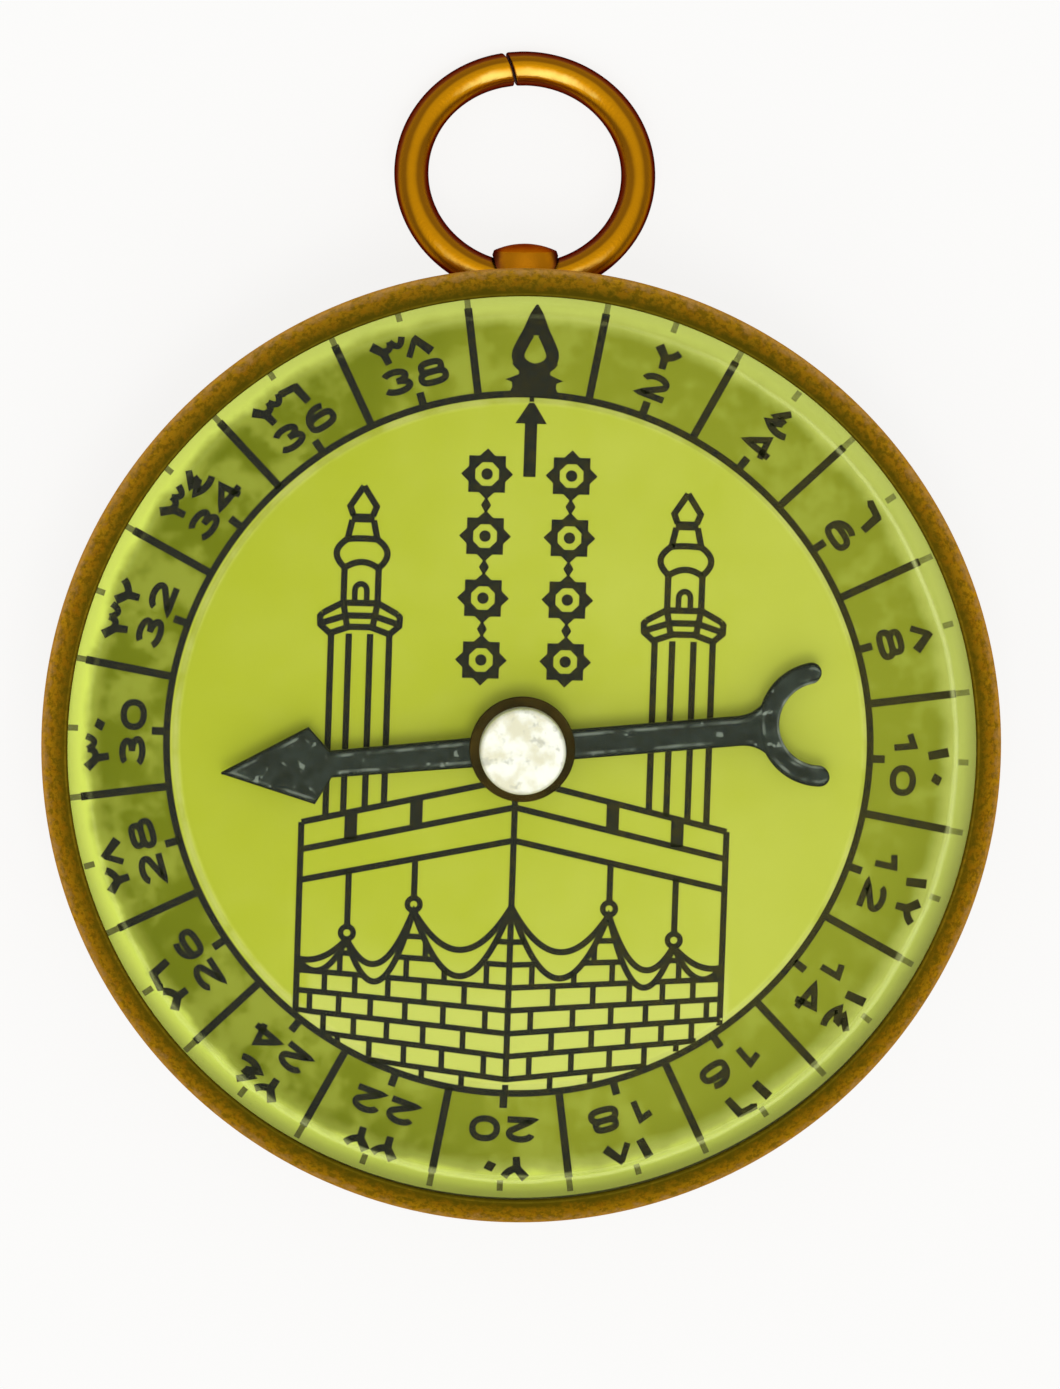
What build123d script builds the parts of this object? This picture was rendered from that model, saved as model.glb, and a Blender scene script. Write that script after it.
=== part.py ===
from build123d import *
import math
import os

# Pocket qibla compass: a drawn brass pan with a flange, a printed dial and a clear cap
# clamped to the flange by a rolled bezel, a needle on a point, and a split bow ring.
# Millimetres. Origin on the case axis at the back face, +Z out of the dial, +Y to the bow.

# Pan: the drawn cup with an outward flange at its mouth
pan_radius = 20.2
pan_height = 7.95
pan_sheet = 0.45
pan_corner = 2.0
flange_width = 1.35
flange_bend = 0.3
back_panel_radius = 14.0
back_panel_depth = 0.3
back_panel_slope = 0.6

# Dial: stamped sheet whose centre stands proud of the number ring
dial_sheet = 0.25
dial_rise = 0.2
dial_step_radius = 16.1
dial_step_slope = 0.3
dial_hole_clearance = 0.15

# Crystal: domed clear cap with a skirt that stands on the dial's edge
chamber_height = 3.55
crystal_thickness = 1.05
crystal_edge_height = 2.4
crystal_flare = 0.35
crystal_bevel = 0.7
skirt_wall = 1.0
skirt_bend = 0.5

# Bezel: channel rolled over the crystal's bevel and under the flange
bezel_sheet = 0.45
bezel_wall = 0.59
bezel_fit = 0.05
bezel_cover = 0.65
bezel_lip_edge = 0.3
bezel_lip_gap = 0.03
bezel_slope = 38.0
bezel_roll = 0.75
bezel_foot_round = 0.9
bezel_shoulder_round = 0.7
bezel_edge_round = 0.12

# Needle: blued steel with an arrowhead in front and a crescent behind
needle_heading = 185.2
needle_sheet = 0.35
needle_edge = 0.05
head_tip = 14.13
head_barb = 9.88
head_rear = 9.0
head_half_width = 1.82
shaft_half_front = 0.63
shaft_half_hub = 0.7
shaft_half_tail = 0.7
eye_disc_radius = 2.2
crescent_centre = 14.05
crescent_radius = 2.45
crescent_width = 0.98
crescent_half_angle = 83.5

# Needle hub, cap and jewel
collar_radius = 2.48
collar_thickness = 0.25
barrel_radius = 1.3
rivet_radius = 1.9
rivet_thickness = 0.3
boss_radius = 1.45
hub_bore = 0.9
hub_bore_flare = 0.15
cap_radius = 2.02
cap_height = 1.15
cap_roof = 0.4
cap_round = 0.22
cap_clearance = 0.25
jewel_height = 0.9
jewel_cup_radius = 0.55
jewel_cup_depth = 0.45

# Pivot: brass post on the pan's floor with a hardened steel point
post_base_radius = 3.0
post_base_thickness = 0.7
post_radius = 1.8
post_neck_radius = 1.1
post_clearance = 0.3
point_radius = 0.4
point_cone = 1.0
point_depth = 3.0
point_gap = 0.03

# Pendant: turned lug riveted through the pan's wall
lug_radius = 1.68
lug_end_radius = 1.48
lug_taper = 0.6
lug_crown = 0.33
lug_gap = 0.1
shank_radius = 1.0
shank_head_radius = 1.6
shank_head_thickness = 0.45
bow_eye_radius = 1.16
bow_eye_wall = 0.55

# Bow: split ring of round wire, hanging from the lug onto the table
bow_radius = 5.36
bow_wire = 1.62
bow_wall_gap = 0.65
bow_split_angle = 7.3
bow_split_gap = 2.6


def crowned(half_width, rise):
    """Radius of the arc that rises this much at the middle over this half width."""
    return (half_width**2 + rise**2) / (2 * rise)


# Levels and radii that follow from the sizes above
flange_radius = pan_radius + flange_width
flange_under = pan_height - pan_sheet
pan_inner_radius = pan_radius - pan_sheet
floor_level = back_panel_depth + pan_sheet
dial_top = pan_height + dial_sheet
dial_centre_under = pan_height + dial_rise
dial_step_foot = dial_step_radius + dial_step_slope
crystal_under = dial_top + chamber_height
crystal_top = crystal_under + crystal_thickness
crystal_edge_top = dial_top + crystal_edge_height
bevel_low = crystal_edge_top - crystal_bevel
crystal_radius = flange_radius + crystal_flare
bevel_top_radius = crystal_radius - crystal_bevel
skirt_inner_radius = flange_radius - skirt_wall
dome_radius = crowned(bevel_top_radius, crystal_top - crystal_edge_top)
dome_angle = math.degrees(math.asin(bevel_top_radius / dome_radius))
dome_centre = crystal_top - dome_radius
vault_radius = dome_radius - crystal_thickness
vault_angle = math.degrees(math.asin(skirt_inner_radius / vault_radius))

bezel_inner_radius = crystal_radius + bezel_fit
bezel_radius = bezel_inner_radius + bezel_wall
bezel_foot_radius = bezel_radius - crystal_flare
bezel_foot_inner = flange_radius + bezel_fit
bezel_bottom = flange_under - bezel_sheet
roll_inner_radius = flange_radius - bezel_roll
lip_radius = crystal_radius - bezel_cover
lip_under = bevel_low + bezel_cover + bezel_lip_gap
lip_root = bevel_low - bezel_fit + bezel_lip_gap
lip_top = lip_under + bezel_lip_edge
shoulder_level = lip_top - (bezel_radius - lip_radius) * math.tan(math.radians(bezel_slope))

cap_top = crystal_under - cap_clearance
boss_top = cap_top - cap_roof
collar_top = cap_top - cap_height
needle_top = collar_top - collar_thickness
needle_under = needle_top - needle_sheet
hub_bottom = needle_under - rivet_thickness
jewel_bottom = boss_top - jewel_height
point_tip = jewel_bottom + jewel_cup_depth - point_gap
post_top = hub_bottom - post_clearance
point_bottom = post_top - point_depth

eye_level = bezel_bottom - lug_gap - lug_radius
eye_reach = pan_radius + bow_wall_gap + bow_wire / 2
lug_end = eye_reach + bow_eye_radius + bow_eye_wall
lug_crown_radius = crowned(lug_end_radius, lug_crown)
lug_crown_angle = math.degrees(math.asin(lug_end_radius / lug_crown_radius))
rivet_seat = math.sqrt(pan_inner_radius**2 - shank_head_radius**2)
bow_droop = math.degrees(math.asin((eye_level - bow_wire / 2) / (2 * bow_radius)))

# Planes and axes
case_section = Plane.XZ
lug_axis = Axis((0, 0, eye_level), (0, 1, 0))
lug_section = Plane(origin=(0, 0, eye_level), x_dir=(0, 1, 0), z_dir=(0, 0, 1))
needle_plane = Plane.XY.offset(needle_under).rotated((0, 0, needle_heading))
bow_plane = Plane(origin=(0, eye_reach, eye_level)).rotated((-bow_droop, 0, 0))
bow_centre = bow_plane.from_local_coords((0, bow_radius, 0))
bow_axis = Axis(bow_centre, bow_plane.z_dir)
bow_split_side = math.radians(bow_split_angle + bow_split_gap / 2)
wire_outward = bow_plane.y_dir * math.cos(bow_split_side) - bow_plane.x_dir * math.sin(bow_split_side)
wire_section = Plane(origin=bow_centre, x_dir=wire_outward, z_dir=bow_plane.z_dir.cross(wire_outward))
crescent_line = CenterArc(
    (-crescent_centre, 0), crescent_radius, -crescent_half_angle, 2 * crescent_half_angle
)

os.makedirs("parts", exist_ok=True)

# Pan: one sheet profile, pressed in at the back, turned up into the wall and out into the flange
with BuildPart() as pan:
    with BuildSketch(case_section):
        with BuildLine():
            outside = FilletPolyline(
                (0, back_panel_depth),
                (back_panel_radius, back_panel_depth),
                (back_panel_radius + back_panel_slope, 0),
                (pan_radius, 0),
                (pan_radius, flange_under),
                (flange_radius, flange_under),
                radius=(0, 0, pan_corner, flange_bend),
            )
            inside = FilletPolyline(
                (0, floor_level),
                (back_panel_radius, floor_level),
                (back_panel_radius + back_panel_slope, pan_sheet),
                (pan_inner_radius, pan_sheet),
                (pan_inner_radius, pan_height),
                (flange_radius, pan_height),
                radius=(0, 0, pan_corner - pan_sheet, flange_bend + pan_sheet),
            )
            Line(outside @ 0, inside @ 0)
            Line(outside @ 1, inside @ 1)
        make_face()
    revolve(axis=Axis.Z)
    with BuildSketch(Plane.XZ.offset(-pan_radius - pan_sheet)):
        with Locations((0, eye_level)):
            Circle(shank_radius)
    extrude(amount=3 * pan_sheet, mode=Mode.SUBTRACT)
pan.part.label = "case_pan"
export_step(pan.part, "parts/case_pan.step")

# Dial: flat number ring, a short slope, and a raised centre with the hole for the post
with BuildPart() as dial:
    with BuildSketch(case_section):
        with BuildLine():
            Polyline(
                (post_neck_radius + dial_hole_clearance, dial_centre_under),
                (dial_step_radius, dial_centre_under),
                (dial_step_foot, pan_height),
                (flange_radius, pan_height),
                (flange_radius, dial_top),
                (dial_step_foot, dial_top),
                (dial_step_radius, dial_top + dial_rise),
                (post_neck_radius + dial_hole_clearance, dial_top + dial_rise),
                close=True,
            )
        make_face()
    revolve(axis=Axis.Z)
dial.part.label = "dial"
export_step(dial.part, "parts/dial.step")

# Crystal: even dome over the needle, bevelled edge, and a flared skirt with a rounded inner bend
with BuildPart() as crystal:
    with BuildSketch(case_section) as crystal_section:
        with BuildLine():
            vault = CenterArc((0, dome_centre), vault_radius, 90 - vault_angle, vault_angle)
            Polyline(
                vault @ 0,
                (skirt_inner_radius, dial_top),
                (flange_radius, dial_top),
                (crystal_radius, bevel_low),
                (bevel_top_radius, crystal_edge_top),
            )
            dome = CenterArc((0, dome_centre), dome_radius, 90 - dome_angle, dome_angle)
            Line(dome @ 1, vault @ 1)
        make_face()
        fillet(crystal_section.vertices().sort_by_distance(vault @ 0)[0], skirt_bend)
    revolve(axis=Axis.Z)
crystal.part.label = "crystal"
export_step(crystal.part, "parts/crystal.step")

# Bezel: lip on the bevel, sloping shoulder, tapered wall, and the foot rolled under the flange
with BuildPart() as bezel:
    with BuildSketch(case_section):
        with BuildLine():
            FilletPolyline(
                (roll_inner_radius, bezel_bottom),
                (bezel_foot_radius, bezel_bottom),
                (bezel_radius, shoulder_level),
                (lip_radius, lip_top),
                (lip_radius, lip_under),
                (bezel_inner_radius, lip_root),
                (bezel_foot_inner, flange_under),
                (roll_inner_radius, flange_under),
                radius=(
                    bezel_edge_round,
                    bezel_foot_round,
                    bezel_shoulder_round,
                    bezel_edge_round,
                    0,
                    0,
                    0,
                    0,
                ),
                close=True,
            )
        make_face()
    revolve(axis=Axis.Z)
bezel.part.label = "bezel"
export_step(bezel.part, "parts/bezel.step")

# Pivot post: foot on the pan's floor, shoulder under the dial, neck through the dial's hole
with BuildPart() as post:
    with BuildSketch(case_section):
        with BuildLine():
            Polyline(
                (0, floor_level),
                (post_base_radius, floor_level),
                (post_base_radius, floor_level + post_base_thickness),
                (post_radius, floor_level + post_base_thickness),
                (post_radius, dial_centre_under),
                (post_neck_radius, dial_centre_under),
                (post_neck_radius, post_top),
                (point_radius, post_top),
                (point_radius, point_bottom),
                (0, point_bottom),
                close=True,
            )
        make_face()
    revolve(axis=Axis.Z)
post.part.label = "pivot_post"
export_step(post.part, "parts/pivot_post.step")

# Pivot point: steel pin pressed into the post, ground to a cone
with BuildPart() as point:
    with BuildSketch(case_section):
        with BuildLine():
            Polyline(
                (0, point_bottom),
                (point_radius, point_bottom),
                (point_radius, point_tip - point_cone),
                (0, point_tip),
                close=True,
            )
        make_face()
    revolve(axis=Axis.Z)
point.part.label = "pivot_point"
export_step(point.part, "parts/pivot_point.step")

# Needle: arrowhead, tapering shaft, round eye, tail shaft and crescent, cut from one sheet
with BuildPart() as needle:
    with BuildSketch(needle_plane):
        with BuildLine():
            front = Polyline(
                (0, shaft_half_hub),
                (head_rear, shaft_half_front),
                (head_barb, head_half_width),
                (head_tip, 0),
            )
            mirror(front, about=Plane.XZ)
            Line((0, shaft_half_hub), (0, -shaft_half_hub))
        make_face()
        tail_length = crescent_centre - crescent_radius
        with Locations((-tail_length / 2, 0)):
            Rectangle(tail_length, 2 * shaft_half_tail)
        Circle(eye_disc_radius)
        SlotArc(crescent_line, crescent_width)
        Circle(barrel_radius, mode=Mode.SUBTRACT)
    extrude(amount=needle_sheet)
    chamfer(needle.faces().sort_by(Axis.Z)[-1].outer_wire().edges(), needle_edge)
needle.part.label = "needle"
export_step(needle.part, "parts/needle.step")

# Needle hub: collar on the needle, barrel through its eye, rivet head below, boss above
with BuildPart() as hub:
    with BuildSketch(case_section):
        with BuildLine():
            Polyline(
                (hub_bore + hub_bore_flare, hub_bottom),
                (rivet_radius, hub_bottom),
                (rivet_radius, needle_under),
                (barrel_radius, needle_under),
                (barrel_radius, needle_top),
                (collar_radius, needle_top),
                (collar_radius, collar_top),
                (boss_radius, collar_top),
                (boss_radius, boss_top),
                (hub_bore, boss_top),
                (hub_bore, hub_bottom + hub_bore_flare),
                close=True,
            )
        make_face()
    revolve(axis=Axis.Z)
hub.part.label = "needle_hub"
export_step(hub.part, "parts/needle_hub.step")

# Needle cap: round cover pressed over the hub's boss
with BuildPart() as cap:
    with BuildSketch(case_section):
        with BuildLine():
            FilletPolyline(
                (0, boss_top),
                (boss_radius, boss_top),
                (boss_radius, collar_top),
                (cap_radius, collar_top),
                (cap_radius, cap_top),
                (0, cap_top),
                radius=(0, 0, 0, 0, cap_round, 0),
                close=True,
            )
        make_face()
    revolve(axis=Axis.Z)
cap.part.label = "needle_cap"
export_step(cap.part, "parts/needle_cap.step")

# Jewel: bearing stone in the hub's bore, with the conical cup that sits on the point
with BuildPart() as jewel:
    with BuildSketch(case_section):
        with BuildLine():
            Polyline(
                (jewel_cup_radius, jewel_bottom),
                (hub_bore, jewel_bottom),
                (hub_bore, boss_top),
                (0, boss_top),
                (0, jewel_bottom + jewel_cup_depth),
                close=True,
            )
        make_face()
    revolve(axis=Axis.Z)
jewel.part.label = "bearing_jewel"
export_step(jewel.part, "parts/bearing_jewel.step")

# Pendant: lug tapered to a crowned end, its shank riveted inside the wall, and the bow's eye
with BuildPart() as pendant:
    with BuildSketch(lug_section):
        with BuildLine():
            rivet = Polyline(
                (rivet_seat - shank_head_thickness, 0),
                (rivet_seat - shank_head_thickness, shank_head_radius),
                (rivet_seat, shank_head_radius),
                (rivet_seat, shank_radius),
                (pan_radius, shank_radius),
                (pan_radius, lug_radius),
                (lug_end - lug_crown - lug_taper, lug_radius),
                (lug_end - lug_crown, lug_end_radius),
            )
            crown = CenterArc(
                (lug_end - lug_crown_radius, 0),
                lug_crown_radius,
                0,
                lug_crown_angle,
            )
            Line(rivet @ 0, crown @ 0)
        make_face()
    revolve(axis=lug_axis)
    with BuildSketch(Plane.YZ):
        with Locations((eye_reach, eye_level)):
            Circle(bow_eye_radius)
    extrude(amount=2 * lug_radius, both=True, mode=Mode.SUBTRACT)
pendant.part.label = "pendant"
export_step(pendant.part, "parts/pendant.step")

# Bow: round wire carried round the ring, open by a narrow split near its far end
with BuildPart() as bow:
    with BuildSketch(wire_section):
        with Locations((bow_radius, 0)):
            Circle(bow_wire / 2)
    revolve(axis=bow_axis, revolution_arc=360 - bow_split_gap)
bow.part.label = "bow_ring"
export_step(bow.part, "parts/bow_ring.step")
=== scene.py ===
"""Looks of a pocket qibla compass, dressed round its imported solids.

Lengths are millimetres in the object's own frame until a mesh is written, which is in metres.
"""

import logging
import math
from collections.abc import Callable, Iterable, Sequence
from dataclasses import dataclass
from enum import Enum

import bpy
import numpy as np
from mathutils import Matrix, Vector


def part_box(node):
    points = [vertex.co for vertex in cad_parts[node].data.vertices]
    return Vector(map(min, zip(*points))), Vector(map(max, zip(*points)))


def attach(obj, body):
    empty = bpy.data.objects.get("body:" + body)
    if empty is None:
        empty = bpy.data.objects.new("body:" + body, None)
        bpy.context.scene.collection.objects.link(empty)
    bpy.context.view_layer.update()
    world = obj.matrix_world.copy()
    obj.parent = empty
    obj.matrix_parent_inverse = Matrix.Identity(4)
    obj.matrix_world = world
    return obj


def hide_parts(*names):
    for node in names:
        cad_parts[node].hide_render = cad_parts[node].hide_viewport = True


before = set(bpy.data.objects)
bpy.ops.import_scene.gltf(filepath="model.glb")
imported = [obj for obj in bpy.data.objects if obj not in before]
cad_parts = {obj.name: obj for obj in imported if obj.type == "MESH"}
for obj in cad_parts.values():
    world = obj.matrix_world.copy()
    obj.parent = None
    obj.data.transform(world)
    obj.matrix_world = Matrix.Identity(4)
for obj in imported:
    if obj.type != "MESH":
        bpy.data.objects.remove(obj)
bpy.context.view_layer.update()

MM = 0.001
IMAGE_HEIGHT = 1389
WELD_DECIMALS = 6
SHARP_ANGLE = 32.0
PRINT_REACH = 20.0

Array = np.ndarray
Colour = tuple[float, float, float]
Stops = tuple[tuple[float, float], ...]
Value = "Signal | float"

log = logging.getLogger("compass")


def node_box(node: str) -> tuple[Array, Array]:
    """Lowest and highest corner of a CAD node, in millimetres.

    Args:
        node: Name of the CAD node.

    Returns:
        The two corners as arrays.
    """
    low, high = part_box(node)
    return np.array(low) / MM, np.array(high) / MM


# Shapes


def line(*points: tuple[float, float]) -> Array:
    """Straight runs through the given points."""
    return np.array(points, float)


def arc(
    x: float, y: float, across: float, upward: float, start: float, stop: float, steps: int = 25
) -> Array:
    """Part of an ellipse: centre plus the two half widths times the cosine and sine of an angle in degrees.

    Args:
        x: Centre, to the right.
        y: Centre, upwards.
        across: Half width to the right.
        upward: Half width upwards.
        start: First angle.
        stop: Last angle.
        steps: Number of points.

    Returns:
        Points along the arc.
    """
    turn = np.radians(np.linspace(start, stop, steps))
    return np.stack([x + across * np.cos(turn), y + upward * np.sin(turn)], axis=-1)


def boxed(x: float, y: float, across: float, upward: float, power: float = 0.72, steps: int = 33) -> Array:
    """Closed loop between an ellipse and a box: cosine and sine, each raised to a power below one.

    Args:
        x: Centre, to the right.
        y: Centre, upwards.
        across: Half width to the right.
        upward: Half width upwards.
        power: The power; one gives the ellipse.
        steps: Number of points.

    Returns:
        Points round the loop, the last on the first.
    """
    turn = np.radians(np.linspace(0, 360, steps))
    way = np.stack([np.cos(turn), np.sin(turn)], axis=-1)
    return np.array([x, y]) + np.array([across, upward]) * np.sign(way) * np.abs(way) ** power


def bent(start: tuple[float, float], stop: tuple[float, float], rise: float, steps: int = 13) -> Array:
    """Parabola between two points that stands off its chord by the rise at its middle, to the left.

    Args:
        start: First point.
        stop: Last point.
        rise: Distance of the middle from the chord.
        steps: Number of points.

    Returns:
        Points along the curve.
    """
    share = np.linspace(0, 1, steps)[:, None]
    first, last = np.array(start), np.array(stop)
    chord = last - first
    left = np.array([-chord[1], chord[0]]) / np.linalg.norm(chord)
    return first + chord * share + left * rise * 4 * share * (1 - share)


def rounded(corners: Sequence[tuple[float, float, float]], steps: int = 8) -> Array:
    """Closed outline with arcs at its corners.

    A corner is cut back along both sides by its radius over the tangent of half its angle, and the arc
    swings from one cut to the other about the centre on the bisector.

    Args:
        corners: Each corner as (x, y, radius).
        steps: Points on each arc.

    Returns:
        Points round the outline, with doubles left out.
    """
    sheet = np.array(corners, float)
    spots, radius = sheet[:, :2], sheet[:, 2:]
    back, ahead = np.roll(spots, 1, axis=0) - spots, np.roll(spots, -1, axis=0) - spots
    back /= np.linalg.norm(back, axis=1, keepdims=True)
    ahead /= np.linalg.norm(ahead, axis=1, keepdims=True)
    half = np.arccos(np.clip((back * ahead).sum(axis=1, keepdims=True), -1, 1)) / 2
    middle = back + ahead
    middle /= np.linalg.norm(middle, axis=1, keepdims=True)
    centre = spots + middle * radius / np.sin(half)
    spoke = spots + back * radius / np.tan(half) - centre
    side = np.sign(back[:, :1] * ahead[:, 1:] - back[:, 1:] * ahead[:, :1])
    swing = -side * (math.pi - 2 * half) * np.linspace(0, 1, steps)
    x = centre[:, :1] + spoke[:, :1] * np.cos(swing) - spoke[:, 1:] * np.sin(swing)
    y = centre[:, 1:] + spoke[:, :1] * np.sin(swing) + spoke[:, 1:] * np.cos(swing)
    outline = np.stack([x, y], axis=-1).reshape(-1, 2)
    moved = np.linalg.norm(outline - np.roll(outline, 1, axis=0), axis=1)
    return outline[moved > 10.0**-WELD_DECIMALS]


def subdivided(path: Array, step: float) -> Array:
    """The same line with more points: its corners, and points at even steps of its length between them.

    Args:
        path: Points of the line.
        step: Distance between the added points.

    Returns:
        Points along the line.
    """
    way = np.concatenate([[0.0], np.cumsum(np.linalg.norm(np.diff(path, axis=0), axis=1))])
    stations = np.union1d(way, np.arange(0.0, way[-1], step))
    stations = stations[np.concatenate([[True], np.diff(stations) > step * 0.05])]
    return np.stack([np.interp(stations, way, path[:, 0]), np.interp(stations, way, path[:, 1])], axis=-1)


def revolved(profile: Array, segments: int) -> Array:
    """Turns a profile about Z: the point (r, z) goes to (r cos a, r sin a, z) at each angle a of a full turn.

    Args:
        profile: Points (r, z).
        segments: Number of angles.

    Returns:
        Grid of points, one row per point of the profile.
    """
    turn = np.linspace(0, 2 * math.pi, segments, endpoint=False)
    r, z = profile[:, :1], profile[:, 1:]
    return np.stack([r * np.cos(turn), r * np.sin(turn), z + 0 * turn], axis=-1)


def capped(rows: Array) -> Array:
    """Adds a row at each end, drawn together to the mean of the end row, so that an open tube closes."""
    ends = [np.broadcast_to(rows[at].mean(axis=0), rows[at].shape) for at in (0, -1)]
    return np.concatenate([ends[0][None], rows, ends[1][None]])


class Shell:
    """Closed blocks of faces gathered into one mesh."""

    def __init__(self) -> None:
        """Starts with no block."""
        self.points: list[Array] = []
        self.marks: list[Array] = []
        self.faces: list[list[int]] = []
        self.count = 0

    def add(self, grid: Array, wrap_rows: bool, mark: Array | None = None) -> None:
        """Adds a block: a grid whose columns close on themselves, and whose rows do too or end in a cap.

        Doubled points are welded, and the faces turn outwards by the sign of the block's volume.

        Args:
            grid: Points by row and column.
            wrap_rows: True where the last row joins the first.
            mark: A value for each point, kept as an attribute.
        """
        mark = np.zeros(grid.shape[:2]) if mark is None else mark
        if not wrap_rows:
            grid, mark = capped(grid), capped(mark)
        rows, columns = grid.shape[:2]
        flat = grid.reshape(-1, 3)
        welded = np.round(flat, WELD_DECIMALS)
        _, first, index = np.unique(welded, axis=0, return_index=True, return_inverse=True)
        ring = index.reshape(rows, columns)
        ring = np.concatenate([ring, ring[:, :1]], axis=1)
        if wrap_rows:
            ring = np.concatenate([ring, ring[:1]], axis=0)
        quads = np.stack([ring[:-1, :-1], ring[1:, :-1], ring[1:, 1:], ring[:-1, 1:]], axis=-1).reshape(-1, 4)
        doubled = quads == np.roll(quads, -1, axis=1)
        whole = quads[~doubled.any(axis=1)]
        single = doubled.sum(axis=1) == 1
        kept = (np.argmax(doubled[single], axis=1)[:, None] + np.arange(1, 4)) % 4
        thirds = np.take_along_axis(quads[single], kept, axis=1)
        points = flat[first]
        corners = points[np.concatenate([whole[:, [0, 1, 2]], whole[:, [0, 2, 3]], thirds])]
        volume = (corners[:, 0] * np.cross(corners[:, 1], corners[:, 2])).sum()
        turned = -1 if volume < 0 else 1
        self.faces += (whole[:, ::turned] + self.count).tolist() + (thirds[:, ::turned] + self.count).tolist()
        self.points.append(points)
        self.marks.append(mark.reshape(-1)[first])
        self.count += len(points)

    def mesh(self, name: str, mark_name: str = "") -> bpy.types.Mesh:
        """Writes the blocks as one mesh in metres, smooth but for its sharp edges.

        Args:
            name: Name of the mesh.
            mark_name: Name of the point attribute that holds the marks, or empty for none.

        Returns:
            The mesh.
        """
        made = bpy.data.meshes.new(name)
        made.from_pydata(np.concatenate(self.points) * MM, [], self.faces)
        made.shade_smooth()
        made.set_sharp_from_angle(angle=math.radians(SHARP_ANGLE))
        if mark_name:
            kept = made.attributes.new(mark_name, "FLOAT", "POINT")
            kept.data.foreach_set("value", np.concatenate(self.marks).astype(np.float32))
        made.update()
        return made


# Finishes


class Signal:
    """A value carried by a node's socket, with arithmetic that adds Math nodes."""

    def __init__(self, paint: "Paint", socket: bpy.types.NodeSocket) -> None:
        """Wraps one output socket of a paint's tree."""
        self.paint = paint
        self.socket = socket

    def __add__(self, other: Value) -> "Signal":
        """Sum."""
        return self.paint.maths("ADD", self, other)

    __radd__ = __add__

    def __sub__(self, other: Value) -> "Signal":
        """Difference."""
        return self.paint.maths("SUBTRACT", self, other)

    def __rsub__(self, other: Value) -> "Signal":
        """Difference from a number."""
        return self.paint.maths("SUBTRACT", other, self)

    def __mul__(self, other: Value) -> "Signal":
        """Product."""
        return self.paint.maths("MULTIPLY", self, other)

    __rmul__ = __mul__


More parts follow.
